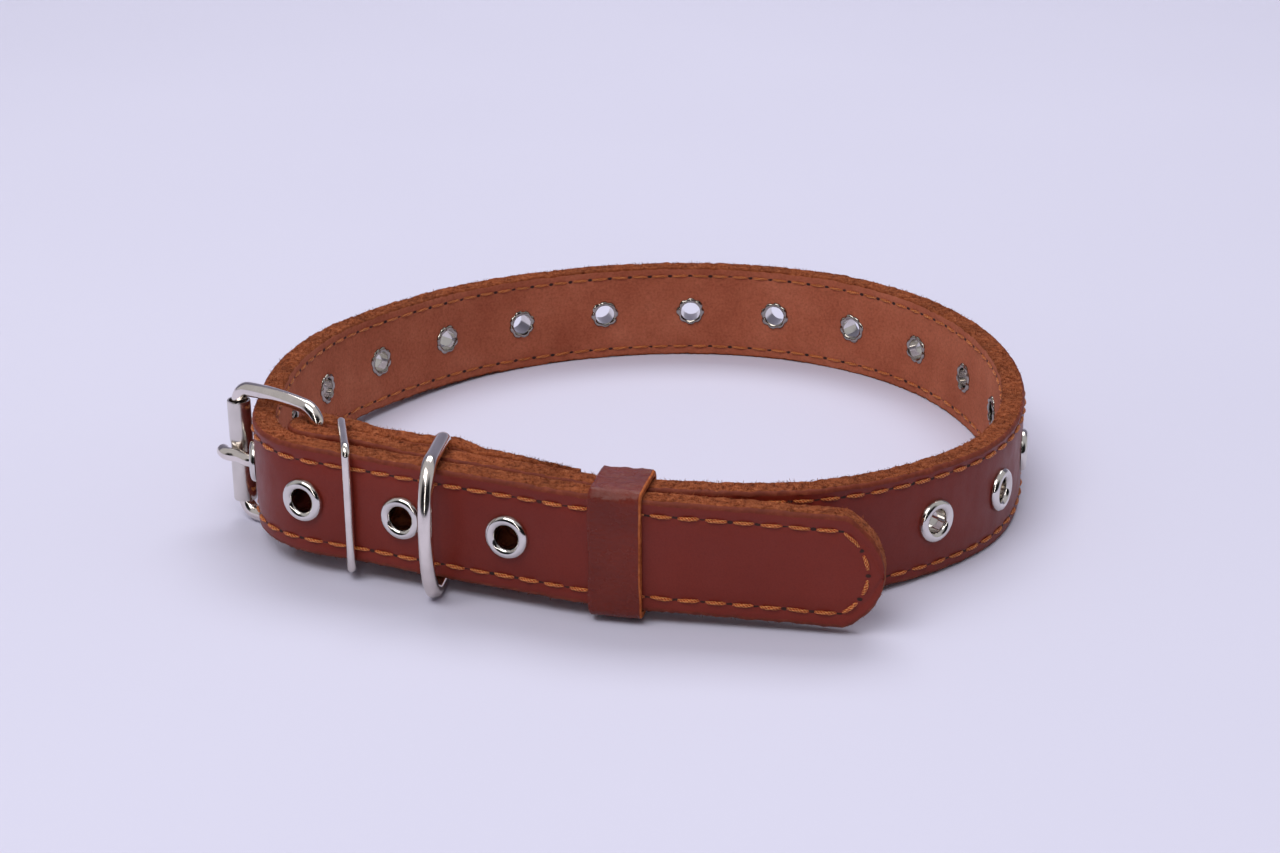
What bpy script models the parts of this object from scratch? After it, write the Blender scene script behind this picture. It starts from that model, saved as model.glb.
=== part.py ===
"""Fastened leather dog collar, lying on a surface: strap, roller buckle, D-ring, keepers and eyelets.

Units are metres and +Z is up. The surface is z = 0, and the origin is on it, under the middle of
the collar's outline. The collar is first laid out round the middle of its loop, then moved there.
"""
import math

import bmesh
import bpy
import numpy as np

# Strap
STRAP_WIDTH = 0.0255
STRAP_THICK = 0.0054
STRAP_EDGE = 0.0007
STRAP_STEP = 0.0062
BEND_STEP = 0.0036
FOLD_STEP = 0.0019
LOOP_WIDTH = 0.1760
LOOP_DEPTH = 0.1790
TURN_BACK = 0.0745
LAYER_GAP = 0.0006

# Tail tip, an arc across the strap's end
TIP_SAG = 0.0085
TIP_COLUMNS = 6
TIP_THIN = 0.86
TIP_THIN_LONG = 0.060

# Eyelets, counted from the tail's tip round the loop
EYELET_PITCH = 0.0250
EYELET_FROM_TIP = 0.0802
EYELET_HOLE_R = 0.00265
EYELET_SHEET = 0.0004
EYELET_RIM_R = 0.0050
EYELET_RIM_HIGH = 0.0011
EYELET_BACK_R = 0.0039
EYELET_BACK_HIGH = 0.0006
EYELET_SIDES = 12
PRONG_EYELET = 3

# Buckle
HINGE_FROM_TIP = 0.1400
HINGE_GAP = 0.00035
FRAME_WIRE = 0.0034
ROLLER_STAND = 0.00786
FRAME_BEND_R = 0.0038
FRAME_BOW = 0.0008
ARM_GAP = 0.0008
ROLLER_R = 0.0027
ROLLER_WALL = 0.0004
ROLLER_SEAM = 0.0007
ROLLER_DENT = 0.0002
PRONG_WIRE = 0.0031
PRONG_SLOT_GAP = 0.0005

# Wire keeper
KEEPER_WIRE = 0.0020
KEEPER_GAP = 0.00035
KEEPER_BEND_R = 0.0020
KEEPER_FRONT_FROM_TIP = 0.1175

# D-ring, whose rest is swung a little off square to the strap
D_WIRE = 0.0033
D_BOTTOM_GAP = 0.0004
D_TOP_GAP = 0.0008
D_DEEP = 0.0228
D_BEND_R = 0.0030
D_LEG_PAST = 0.0006
D_SWING = math.radians(15.5)

# Leather keeper
LOOP_THICK = 0.0014
LOOP_WIDE = 0.0113
LOOP_GAP = 0.0004
LOOP_CORNER_R = 0.0024
LOOP_FROM_TIP = 0.0560

# Clearance between pieces that touch, and the sides of a round wire
CLEAR = 0.0003
WIRE_SIDES = 8

# The way in which the collar is lifted off the surface by its buckle and D-ring. The ramp starts
# and ends at these shares of half the loop along that way.
LIFT_WAY = (-0.77, -0.64)
LIFT_START = -0.34
LIFT_END = 1.05
LIFT_POWER = 1.2

# Eyelets were set by hand: distance of each from the first one as a share of the pitch.
EYELET_ROWS = (
    0.0, 0.996, 1.960, 3.008, 4.060, 5.128, 6.160, 7.184, 8.200, 9.200,
    10.192, 11.172, 12.144, 13.120, 14.120, 15.130, 16.130, 17.124, 18.096,
)

# Centreline of the strap, from behind the leather keeper once round to the tip of the tail.
# Columns: share of half the loop's width, share of half its depth.
LOOP_ROWS = (
    (0.227, -0.852),
    (0.455, -0.810),
    (0.682, -0.680),
    (0.875, -0.480),
    (0.970, -0.240),
    (1.000, 0.034),
    (0.962, 0.324),
    (0.818, 0.640),
    (0.580, 0.860),
    (0.295, 0.970),
    (0.011, 0.984),
    (-0.273, 0.920),
    (-0.523, 0.783),
    (-0.739, 0.560),
    (-0.898, 0.310),
    (-0.974, 0.060),
    (-0.993, -0.150),
    (-0.990, -0.320),
    (-0.958, -0.503),
    (-0.892, -0.588),
    (-0.733, -0.660),
    (-0.560, -0.731),
    (-0.295, -0.833),
    (-0.132, -0.893),
    (0.114, -0.941),
    (0.318, -0.974),
    (0.557, -1.016),
)

# Layers under the tail, from the hinge bar to the end of the turned-back leather.
# Columns: distance from the hinge bar as a share of the turned-back length, gap under the tail
# and pocket in the fold as shares of the strap's thickness, and the wire that the pocket holds.
STACK_ROWS = (
    (0.00, 0.10, 0.00, "hinge"),
    (0.165, 0.48, 0.00, "keeper"),
    (0.25, 0.48, 0.02, None),
    (0.345, 0.36, 0.02, None),
    (0.425, 0.18, 0.22, None),
    (0.521, 0.12, 0.00, "d_ring"),
    (0.605, 0.14, 0.20, None),
    (0.69, 0.16, 0.04, None),
    (0.82, 0.14, 0.02, None),
    (0.96, 0.08, 0.01, None),
)

# The strap alone, from the end of the turned-back leather to its own way behind the tail.
# Columns: distance from the hinge bar and gap under the tail, in the same shares.
UNDER_ROWS = ((1.10, 0.08), (1.26, 0.30))

# Thickness of the turned-back leather.
# Columns: distance from its end as a share of its length, thickness as a share of the strap's.
SKIVE_ROWS = ((0.0, 0.14), (0.22, 0.50), (0.42, 0.84), (0.60, 0.90), (1.0, 0.88), (1.3, 0.95), (1.7, 1.0))

# Columns: base colour, roughness, metallic.
FINISHES = {
    "leather": ((0.235, 0.062, 0.040, 1.0), 0.42, 0.0),
    "keeper_leather": ((0.250, 0.045, 0.030, 1.0), 0.30, 0.0),
    "nickel": ((0.62, 0.61, 0.59, 1.0), 0.22, 1.0),
}


# Objects

def clear_scene():
    for old in list(bpy.data.objects):
        bpy.data.objects.remove(old, do_unlink=True)


def finish(name):
    """A material from the table of finishes, made once."""
    made = bpy.data.materials.get(name)
    if made is None:
        colour, rough, metal = FINISHES[name]
        made = bpy.data.materials.new(name)
        made.use_nodes = True
        shader = made.node_tree.nodes["Principled BSDF"]
        shader.inputs["Base Color"].default_value = colour
        shader.inputs["Roughness"].default_value = rough
        shader.inputs["Metallic"].default_value = metal
    return made


def add_object(name, solid, look, origin=(0.0, 0.0, 0.0), smooth=True):
    """One named object from vertices and faces, with its faces out and its origin where given."""
    verts, faces = solid
    mesh = bpy.data.meshes.new(name)
    mesh.from_pydata([tuple(float(a - b) for a, b in zip(v, origin)) for v in verts], [], faces)
    work = bmesh.new()
    work.from_mesh(mesh)
    bmesh.ops.recalc_face_normals(work, faces=work.faces)
    work.to_mesh(mesh)
    work.free()
    if smooth:
        mesh.shade_smooth()
        mesh.set_sharp_from_angle(angle=math.radians(40))
    mesh.materials.append(finish(look))
    made = bpy.data.objects.new(name, mesh)
    made.location = origin
    bpy.context.scene.collection.objects.link(made)
    return made


def loft(rings, closed=False):
    """Vertices and faces of a tube through rings of corners, joined end to end or capped."""
    count = len(rings[0])
    total = len(rings)
    verts = [corner for ring in rings for corner in ring]
    faces = []
    for i in range(total if closed else total - 1):
        j = (i + 1) % total
        for k in range(count):
            m = (k + 1) % count
            faces.append((i * count + k, i * count + m, j * count + m, j * count + k))
    if not closed:
        faces.append(tuple(range(count)))
        faces.append(tuple((total - 1) * count + k for k in range(count)))
    return verts, faces


def unit(vector):
    return vector / np.linalg.norm(vector)


def lifted(flat, height):
    """A point in the XY plane, put at a height."""
    return np.array([flat[0], flat[1], height])


def table_value(rows, x, column=1):
    return float(np.interp(x, [row[0] for row in rows], [row[column] for row in rows]))


# Lines in the XY plane

def natural_spline(points, step):
    """Points a short step apart on the natural cubic spline through the given points."""
    p = np.array(points, float)
    knots = np.concatenate([[0.0], np.cumsum(np.linalg.norm(np.diff(p, axis=0), axis=1))])
    gaps = np.diff(knots)
    count = len(p)
    rows = np.eye(count)
    right = np.zeros_like(p)
    for i in range(1, count - 1):
        rows[i, i - 1] = gaps[i - 1]
        rows[i, i] = 2.0 * (gaps[i - 1] + gaps[i])
        rows[i, i + 1] = gaps[i]
        right[i] = 6.0 * ((p[i + 1] - p[i]) / gaps[i] - (p[i] - p[i - 1]) / gaps[i - 1])
    bend = np.linalg.solve(rows, right)
    made = []
    for u in np.linspace(0.0, knots[-1], int(math.ceil(knots[-1] / step)) + 1):
        i = min(int(np.searchsorted(knots, u, side="right")) - 1, count - 2)
        h = gaps[i]
        a = knots[i + 1] - u
        b = u - knots[i]
        made.append(
            (bend[i] * a ** 3 + bend[i + 1] * b ** 3) / (6.0 * h)
            + (p[i] / h - bend[i] * h / 6.0) * a
            + (p[i + 1] / h - bend[i + 1] * h / 6.0) * b
        )
    return np.array(made)


class Line:
    """A smooth line in the XY plane, read by the distance along it."""

    def __init__(self, points):
        self.points = natural_spline(points, 0.0004)
        runs = np.linalg.norm(np.diff(self.points, axis=0), axis=1)
        self.at = np.concatenate([[0.0], np.cumsum(runs)])
        self.length = float(self.at[-1])
        steps = np.gradient(self.points, axis=0)
        self.ways = steps / np.linalg.norm(steps, axis=1)[:, None]

    def spot(self, s):
        return np.array([np.interp(s, self.at, self.points[:, k]) for k in (0, 1)])

    def along(self, s):
        return unit(np.array([np.interp(s, self.at, self.ways[:, k]) for k in (0, 1)]))

    def outward(self, s):
        """The grain side, on the right hand of the way along."""
        way = self.along(s)
        return np.array([way[1], -way[0]])

    def bend(self, s):
        """Curvature of the line at this distance."""
        reach = EYELET_BACK_R
        turn = np.dot(self.along(s - reach), self.along(s + reach))
        return math.acos(max(-1.0, min(1.0, float(turn)))) / (2.0 * reach)


def loop_points():
    half = np.array([LOOP_WIDTH / 2.0, LOOP_DEPTH / 2.0])
    return [np.array(row) * half for row in LOOP_ROWS]


TAIL = Line(loop_points())


def tail_frame(from_tip):
    """Centre of the tail at this distance from its tip, its way to the tip and its inward side."""
    s = TAIL.length - from_tip
    return TAIL.spot(s), TAIL.along(s), -TAIL.outward(s)


def tail_thick(from_tip):
    return STRAP_THICK * (TIP_THIN + (1.0 - TIP_THIN) * min(1.0, from_tip / TIP_THIN_LONG))


def skive(from_end):
    """Thickness of the turned-back leather, and of the strap after it, from its end."""
    return STRAP_THICK * table_value(SKIVE_ROWS, from_end / TURN_BACK)


def pocket_wire(name):
    return {"hinge": FRAME_WIRE, "keeper": KEEPER_WIRE, "d_ring": D_WIRE}[name]


def stack():
    """Rows of distance from the hinge bar, gap under the tail and pocket, in metres."""
    made = []
    for along, tail_gap, pocket, held in STACK_ROWS:
        least = pocket_wire(held) + 2.0 * HINGE_GAP if held else LAYER_GAP
        made.append((along * TURN_BACK, LAYER_GAP + tail_gap * STRAP_THICK, least + pocket * STRAP_THICK))
    return made


def under_tail(along, depth):
    """A point this far from the hinge bar and this far in from the tail's centreline."""
    spot, _, inward = tail_frame(HINGE_FROM_TIP - along)
    return spot + inward * depth


def pocket_axis(held):
    """Axis of the wire held in the fold, against the strap under the tail."""
    along = next(row[0] for row in STACK_ROWS if row[3] == held) * TURN_BACK
    tail_gap = table_value(stack(), along)
    under = skive(TURN_BACK + along)
    return under_tail(along, STRAP_THICK / 2.0 + tail_gap + under + HINGE_GAP + pocket_wire(held) / 2.0)


def strap_line():
    """Centreline of the whole strap, from its turned-back end to the tip of the tail."""
    axis = pocket_axis("hinge")
    _, way, inward = tail_frame(HINGE_FROM_TIP)
    inner = []
    outer = []
    for along, tail_gap, pocket in stack():
        back = skive(TURN_BACK - along)
        under = skive(TURN_BACK + along)
        depth = STRAP_THICK / 2.0 + tail_gap + under / 2.0
        outer.append(under_tail(along, depth))
        inner.append(under_tail(along, depth + under / 2.0 + pocket + back / 2.0))
    for along, tail_gap in UNDER_ROWS:
        outer.append(under_tail(along * TURN_BACK, STRAP_THICK + LAYER_GAP + tail_gap * STRAP_THICK))
    reach = FRAME_WIRE / 2.0 + HINGE_GAP + skive(TURN_BACK) / 2.0
    turn = []
    for angle in (50.0, 90.0, 130.0):
        a = math.radians(angle)
        turn.append(axis + reach * (math.cos(a) * inward - math.sin(a) * way))
    return Line(inner[::-1] + turn + outer + loop_points())


STRAP = strap_line()


def eyelet_stations():
    last = STRAP.length - EYELET_FROM_TIP
    return [last - share * EYELET_PITCH for share in EYELET_ROWS]


# Heights

def ramp(spot):
    """Share of the lift at a point in the XY plane."""
    half = (LOOP_WIDTH + LOOP_DEPTH) / 4.0
    share = (spot[0] * LIFT_WAY[0] + spot[1] * LIFT_WAY[1]) / half
    share = (share - LIFT_START) / (LIFT_END - LIFT_START)
    return min(max(share, 0.0), 1.1) ** LIFT_POWER


def frame_line():
    """Hinge bar axis, end bar axis and the way between them, seen from above."""
    axis = pocket_axis("hinge")
    s = eyelet_stations()[PRONG_EYELET]
    hole = STRAP.spot(s) + STRAP.outward(s) * STRAP_THICK / 2.0
    to_hole = unit(hole - axis)
    back = np.array([to_hole[1], -to_hole[0]])
    long = np.linalg.norm(hole - axis) + ROLLER_STAND
    turn = math.asin((ROLLER_R + PRONG_WIRE / 2.0 + CLEAR) / long)
    way = math.cos(turn) * to_hole + math.sin(turn) * back
    return axis, axis + way * long, way


def lift_scale():
    """The lift at which the buckle's lower arm or the D-ring stands on the surface."""
    axis, end, _ = frame_line()
    arm = (FRAME_WIRE + ARM_GAP) / ramp((axis + end) / 2.0)
    ring = (D_WIRE + D_BOTTOM_GAP) / ramp(pocket_axis("d_ring"))
    return max(arm, ring)


LIFT = lift_scale()


def strap_bottom(spot):
    return LIFT * ramp(spot)


def strap_middle(spot):
    return strap_bottom(spot) + STRAP_WIDTH / 2.0


# Strap

def strap_thick(s):
    if s < 2.0 * TURN_BACK:
        return skive(s)
    return tail_thick(STRAP.length - s)


def strap_stations():
    """Distances along the strap, closer together in the fold, the bend and the tip."""
    bend_at = STRAP.length - HINGE_FROM_TIP
    made = [0.0]
    while made[-1] < STRAP.length - TIP_SAG - STRAP_STEP:
        s = made[-1]
        if TURN_BACK * 0.88 < s < TURN_BACK * 1.22:
            step = FOLD_STEP
        elif s < TURN_BACK * 1.6 or bend_at - 0.030 < s < bend_at + 0.010:
            step = BEND_STEP
        else:
            step = STRAP_STEP
        made.append(s + step)
    for k in range(TIP_COLUMNS + 1):
        share = 1.0 - (1.0 - k / TIP_COLUMNS) ** 1.6
        made.append(STRAP.length - TIP_SAG * (1.0 - 0.985 * share))
    return made


def half_width(s):
    """Half the strap's width, cut by the arc of the tip."""
    half = STRAP_WIDTH / 2.0
    over = s - (STRAP.length - TIP_SAG)
    if over <= 0.0:
        return half
    radius = (half ** 2 + TIP_SAG ** 2) / (2.0 * TIP_SAG)
    along = radius - TIP_SAG + over
    return math.sqrt(max(radius ** 2 - along ** 2, (0.1 * half) ** 2))


def strap_section(s):
    """Eight corners across the strap, with eased edges."""
    spot = STRAP.spot(s)
    out = STRAP.outward(s)
    half = half_width(s)
    thick = strap_thick(s) / 2.0
    ease = min(STRAP_EDGE, 0.6 * thick, 0.5 * half)
    profile = (
        (thick, -half + ease), (thick, half - ease), (thick - ease, half), (ease - thick, half),
        (-thick, half - ease), (-thick, ease - half), (ease - thick, -half), (thick - ease, -half),
    )
    return [lifted(spot + out * across, strap_middle(spot) + up) for across, up in profile]


def disc(centre, axis, radius, sides):
    """A ring of corners round a centre, across a level axis."""
    up = np.array([0.0, 0.0, 1.0])
    side = np.cross(up, axis)
    angles = [2.0 * math.pi * (k + 0.5) / sides for k in range(sides)]
    return [centre + radius * (math.cos(a) * side + math.sin(a) * up) for a in angles]


def eyelet_frame(s):
    """Centre of the strap at an eyelet and its outward axis, in space."""
    spot = STRAP.spot(s)
    return lifted(spot, strap_middle(spot)), lifted(STRAP.outward(s), 0.0)


def eyelet_cut(s):
    centre, out = eyelet_frame(s)
    radius = EYELET_HOLE_R + EYELET_SHEET + CLEAR
    return loft([disc(centre + out * STRAP_THICK * side, out, radius, EYELET_SIDES) for side in (-1.0, 1.0)])


def prong_height():
    return strap_middle(frame_line()[1])


def prong_slot():
    """The slot in the fold through which the prong reaches the hinge bar."""
    axis, _, way = frame_line()
    side = np.array([-way[1], way[0]])
    half = PRONG_WIRE / 2.0 + PRONG_SLOT_GAP
    wide = FRAME_WIRE / 2.0 + CLEAR + PRONG_WIRE + PRONG_SLOT_GAP
    out = FRAME_WIRE / 2.0 + HINGE_GAP + STRAP_THICK + PRONG_SLOT_GAP
    corners = ((-wide, -wide), (out, -wide), (out, wide), (-wide, wide))
    rings = []
    for up in (-half, half):
        rings.append([lifted(axis + way * a + side * b, prong_height() + up) for a, b in corners])
    return loft(rings)


def build_strap():
    strap = add_object("strap", loft([strap_section(s) for s in strap_stations()]), "leather")
    verts = []
    faces = []
    for some_verts, some_faces in [eyelet_cut(s) for s in eyelet_stations()] + [prong_slot()]:
        start = len(verts)
        verts.extend(some_verts)
        faces.extend(tuple(start + k for k in face) for face in some_faces)
    cuts = add_object("strap_cuts", (verts, faces), "leather", smooth=False)
    cuts.hide_render = True
    cuts.display_type = "WIRE"
    holes = strap.modifiers.new("holes", "BOOLEAN")
    holes.operation = "DIFFERENCE"
    holes.solver = "EXACT"
    holes.object = cuts


# Eyelets

def build_eyelet(number, s):
    """A turned eyelet: rolled rim on the grain side, barrel, and crimped back inside."""
    centre, out = eyelet_frame(s)
    face = strap_thick(s) / 2.0 + CLEAR
    back = face + STRAP.bend(s) * EYELET_BACK_R ** 2 / 2.0
    barrel = EYELET_HOLE_R + EYELET_SHEET
    high = EYELET_RIM_HIGH
    profile = (
        (EYELET_HOLE_R, face + 0.5 * high),
        (barrel, face + 0.95 * high),
        (0.62 * EYELET_RIM_R + 0.38 * barrel, face + high),
        (0.94 * EYELET_RIM_R, face + 0.65 * high),
        (EYELET_RIM_R, face),
        (barrel, face),
        (barrel, -back),
        (EYELET_BACK_R, -back),
        (0.9 * EYELET_BACK_R, -back - EYELET_BACK_HIGH),
        (EYELET_HOLE_R, -back - 0.6 * EYELET_BACK_HIGH),
    )
    rings = [disc(centre + out * along, out, radius, EYELET_SIDES) for radius, along in profile]
    add_object("eyelet_%02d" % number, loft(rings, closed=True), "nickel", origin=tuple(centre))


# Wire pieces

def wire(name, path, diameter, closed=True, origin=(0.0, 0.0, 0.0)):
    """A round wire along points in space."""
    path = np.array(path, float)
    count = len(path)
    side = None
    rings = []
    for i in range(count):
        if closed:
            way = unit(path[(i + 1) % count] - path[i - 1])
        else:
            way = unit(path[min(i + 1, count - 1)] - path[max(i - 1, 0)])
        if side is None:
            side = np.cross(way, (0.0, 0.0, 1.0))
            if np.linalg.norm(side) < 0.1:
                side = np.cross(way, (1.0, 0.0, 0.0))
        side = unit(side - way * np.dot(side, way))
        top = np.cross(way, side)
        angles = [2.0 * math.pi * k / WIRE_SIDES for k in range(WIRE_SIDES)]
        rings.append([path[i] + diameter / 2.0 * (math.cos(a) * side + math.sin(a) * top) for a in angles])
    return add_object(name, loft(rings, closed), "nickel", origin=origin)


def rounded(corners, radius, count):
    """A closed outline in two dimensions with its corners rounded."""
    made = []
    for i, corner in enumerate(corners):
        here = np.array(corner, float)
        before = unit(np.array(corners[i - 1], float) - here)
        after = unit(np.array(corners[(i + 1) % len(corners)], float) - here)
        half = math.acos(max(-1.0, min(1.0, float(np.dot(before, after))))) / 2.0
        centre = here + unit(before + after) * radius / math.sin(half)
        start = here + before * radius / math.tan(half) - centre
        stop = here + after * radius / math.tan(half) - centre
        turn = math.pi - 2.0 * half
        for k in range(count):
            share = k / (count - 1)
            made.append(centre + (start * math.sin((1.0 - share) * turn) + stop * math.sin(share * turn))
                        / math.sin(turn))
    return made


def upright(origin, way, outline):
    """Points of an outline stood up in a plane: first value along the way, second the height."""
    return [lifted(origin + way * a, b) for a, b in outline]


def frame_heights():
    axis, end, _ = frame_line()
    bottom = strap_bottom((axis + end) / 2.0)
    return bottom - ARM_GAP - FRAME_WIRE / 2.0, bottom + STRAP_WIDTH + ARM_GAP + FRAME_WIRE / 2.0


def build_frame():
    axis, end, way = frame_line()
    low, high = frame_heights()
    long = float(np.linalg.norm(end - axis))
    corners = ((0.0, low), (long, low), (long, high), (0.0, high))
    outline = []
    for a, b in rounded(corners, FRAME_BEND_R, 5):
        bow = FRAME_BOW * math.sin(math.pi * min(max(a / long, 0.0), 1.0))
        outline.append((a, b + bow if b > (low + high) / 2.0 else b))
    wire("buckle_frame", upright(axis, way, outline), FRAME_WIRE)


def build_roller():
    """Rolled sheet tube with an open seam and a dent where the prong lies."""
    _, end, way = frame_line()
    low, high = frame_heights()
    half = PRONG_WIRE / 2.0
    middle = prong_height()
    seam = ROLLER_SEAM / ROLLER_R
    start = math.atan2(way[1], way[0]) - math.radians(120.0) + seam / 2.0
    sides = 14
    angles = [start + (2.0 * math.pi - seam) * k / sides for k in range(sides + 1)]
    levels = (
        (low + FRAME_BEND_R * 0.8, 0.0), (middle - 1.7 * half, 0.0), (middle - half, ROLLER_DENT),
        (middle + half, ROLLER_DENT), (middle + 1.7 * half, 0.0), (high - FRAME_BEND_R * 0.8, 0.0),
    )
    rings = []
    for z, dent in levels:
        ring = []
        for radius, run in ((ROLLER_R - dent, angles), (ROLLER_R - dent - ROLLER_WALL, angles[::-1])):
            ring.extend((end[0] + radius * math.cos(a), end[1] + radius * math.sin(a), z) for a in run)
        rings.append(ring)
    add_object("roller", loft(rings), "nickel", origin=(end[0], end[1], middle))


def build_prong():
    """Curled round the hinge bar, out through the fold and its eyelet, and over the roller."""
    axis, end, _ = frame_line()
    s = eyelet_stations()[PRONG_EYELET]
    hole = STRAP.spot(s)
    out = STRAP.outward(s)
    curl = FRAME_WIRE / 2.0 + CLEAR + PRONG_WIRE / 2.0
    over = ROLLER_R - ROLLER_DENT + CLEAR + PRONG_WIRE / 2.0
    before = hole - out * (STRAP_THICK / 2.0 + 0.0012)
    after = hole + out * (STRAP_THICK / 2.0 + 0.0012)
    leave = math.atan2(before[1] - axis[1], before[0] - axis[0]) - math.acos(curl / np.linalg.norm(before - axis))
    points = []
    for k in range(9):
        a = leave - math.radians(250.0) * (1.0 - k / 8.0)
        points.append(axis + curl * np.array([math.cos(a), math.sin(a)]))
    points.append(points[-1] * 0.45 + before * 0.55)
    points.extend([before, hole, after])
    out_angle = math.atan2(out[1], out[0])
    for turn in (78.0, 45.0, 12.0):
        a = out_angle + math.radians(turn)
        points.append(end + over * np.array([math.cos(a), math.sin(a)]))
    smooth = natural_spline(points, 0.0016)
    wire("prong", [lifted(p, prong_height()) for p in smooth], PRONG_WIRE, closed=False,
         origin=tuple(lifted(axis, prong_height())))


def build_wire_keeper():
    """Rectangular loop round the tail and the strap under it, its back bar in the fold."""
    back = pocket_axis("keeper")
    spot, _, inward = tail_frame(KEEPER_FRONT_FROM_TIP)
    front = spot - inward * (STRAP_THICK / 2.0 + KEEPER_GAP + KEEPER_WIRE / 2.0)
    bottoms = [strap_bottom(back), strap_bottom(front)]
    low = min(bottoms) - KEEPER_GAP - KEEPER_WIRE / 2.0
    high = max(bottoms) + STRAP_WIDTH + KEEPER_GAP + KEEPER_WIRE / 2.0
    long = np.linalg.norm(front - back)
    corners = ((0.0, low), (long, low), (long, high), (0.0, high))
    path = upright(back, unit(front - back), rounded(corners, KEEPER_BEND_R, 4))
    wire("wire_keeper", path, KEEPER_WIRE)


def build_d_ring():
    """The straight bar in the fold, legs over and under the strap, and the round front."""
    axis = pocket_axis("d_ring")
    along = next(row[0] for row in STACK_ROWS if row[3] == "d_ring") * TURN_BACK
    spot, _, inward = tail_frame(HINGE_FROM_TIP - along)
    turned = math.atan2(-inward[1], -inward[0]) + D_SWING
    way = np.array([math.cos(turned), math.sin(turned)])
    r = D_WIRE / 2.0
    low = strap_bottom(axis) - D_BOTTOM_GAP - r
    high = strap_bottom(axis) + STRAP_WIDTH + D_TOP_GAP + r
    face = float(np.dot(axis - spot, inward)) + STRAP_THICK / 2.0
    leg = face / math.cos(D_SWING) + D_LEG_PAST
    outline = [(0.0, low + D_BEND_R), (D_BEND_R * 0.29, low + D_BEND_R * 0.29), (D_BEND_R, low)]
    middle = (low + high) / 2.0
    for k in range(15):
        a = math.pi * (k / 14.0 - 0.5)
        outline.append((leg + (D_DEEP - leg) * math.cos(a), middle + (high - low) / 2.0 * math.sin(a)))
    outline += [(D_BEND_R, high), (D_BEND_R * 0.29, high - D_BEND_R * 0.29), (0.0, high - D_BEND_R)]
    outline += [(0.0, middle)]
    wire("d_ring", upright(axis, way, outline), D_WIRE, origin=tuple(lifted(axis, middle)))


# Leather keeper

def build_leather_keeper():
    """A closed loop of leather round the tail and the strap under it."""
    spot, way, inward = tail_frame(LOOP_FROM_TIP)
    first = STRAP_THICK / 2.0 + LOOP_GAP
    depths = []
    for share in (-0.5, 0.5):
        along = HINGE_FROM_TIP - LOOP_FROM_TIP - share * LOOP_WIDE
        rows = [(row[0] * TURN_BACK, row[1]) for row in STACK_ROWS[-1:]]
        rows += [(row[0] * TURN_BACK, row[1]) for row in UNDER_ROWS]
        depths.append(STRAP_THICK * (1.5 + table_value(rows, along)) + LAYER_GAP)
    last = max(depths) + LOOP_GAP
    low = strap_bottom(spot) - LOOP_GAP
    high = strap_bottom(spot) + STRAP_WIDTH + LOOP_GAP
    rings = []
    for share, grow in ((-0.5, 0.0), (0.5, 0.0), (0.5, LOOP_THICK), (-0.5, LOOP_THICK)):
        corners = ((-first - grow, low - grow), (last + grow, low - grow),
                   (last + grow, high + grow), (-first - grow, high + grow))
        radius = LOOP_CORNER_R - LOOP_THICK + grow
        middle = spot + way * share * LOOP_WIDE
        rings.append([lifted(middle + inward * a, b) for a, b in rounded(corners, radius, 4)])
    add_object("leather_keeper", loft(rings, closed=True), "keeper_leather", origin=tuple(lifted(spot, low)))


def centre_on_origin():
    """Moves every object so that the origin is under the middle of the outline."""
    bpy.context.view_layer.update()
    graph = bpy.context.evaluated_depsgraph_get()
    corners = []
    for item in bpy.context.scene.objects:
        if item.hide_render:
            continue
        shape = item.evaluated_get(graph).to_mesh()
        corners.extend(item.matrix_world @ vertex.co for vertex in shape.vertices)
    lows = [min(corner[k] for corner in corners) for k in range(3)]
    highs = [max(corner[k] for corner in corners) for k in range(3)]
    for item in bpy.context.scene.objects:
        item.location.x -= (lows[0] + highs[0]) / 2.0
        item.location.y -= (lows[1] + highs[1]) / 2.0
        item.location.z -= lows[2]


def main():
    clear_scene()
    build_strap()
    for number, s in enumerate(eyelet_stations(), start=1):
        build_eyelet(number, s)
    build_frame()
    build_roller()
    build_prong()
    build_wire_keeper()
    build_d_ring()
    build_leather_keeper()
    centre_on_origin()


if __name__ == "__main__":
    main()
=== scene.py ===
"""Looks of the fastened leather dog collar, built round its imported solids.

Units are metres and +Z is up. The strap's line is the one that the solids follow, so each detailed
piece stands where its solid is.
"""
import math
import random

import bmesh
import bpy
import numpy as np
from mathutils import Matrix, Vector, noise


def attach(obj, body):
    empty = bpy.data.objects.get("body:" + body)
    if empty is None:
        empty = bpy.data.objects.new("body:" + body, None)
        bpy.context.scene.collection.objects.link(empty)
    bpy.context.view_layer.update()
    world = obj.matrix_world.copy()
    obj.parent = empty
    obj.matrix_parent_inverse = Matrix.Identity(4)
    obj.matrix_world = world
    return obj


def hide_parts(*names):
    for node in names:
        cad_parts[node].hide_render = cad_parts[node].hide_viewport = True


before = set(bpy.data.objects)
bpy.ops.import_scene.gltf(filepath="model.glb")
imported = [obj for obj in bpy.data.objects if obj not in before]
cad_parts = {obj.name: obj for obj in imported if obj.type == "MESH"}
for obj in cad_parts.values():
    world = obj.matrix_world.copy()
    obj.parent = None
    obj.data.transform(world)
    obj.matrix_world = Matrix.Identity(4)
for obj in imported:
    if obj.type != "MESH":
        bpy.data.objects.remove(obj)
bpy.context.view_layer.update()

MM = 0.001
# The collar's own middle, seen from the origin of the solids
SHIFT = np.array([3.686, 0.280, 0.0]) * MM

# Strap, as in the solids
STRAP_WIDTH = 25.5 * MM
STRAP_THICK = 5.4 * MM
HALF_LOOP = np.array([88.0, 89.5]) * MM
TURN_BACK = 74.5 * MM
LAYER_GAP = 0.6 * MM
TIP_SAG = 8.5 * MM
TIP_THIN = 0.86
TIP_THIN_LONG = 60.0 * MM

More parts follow.
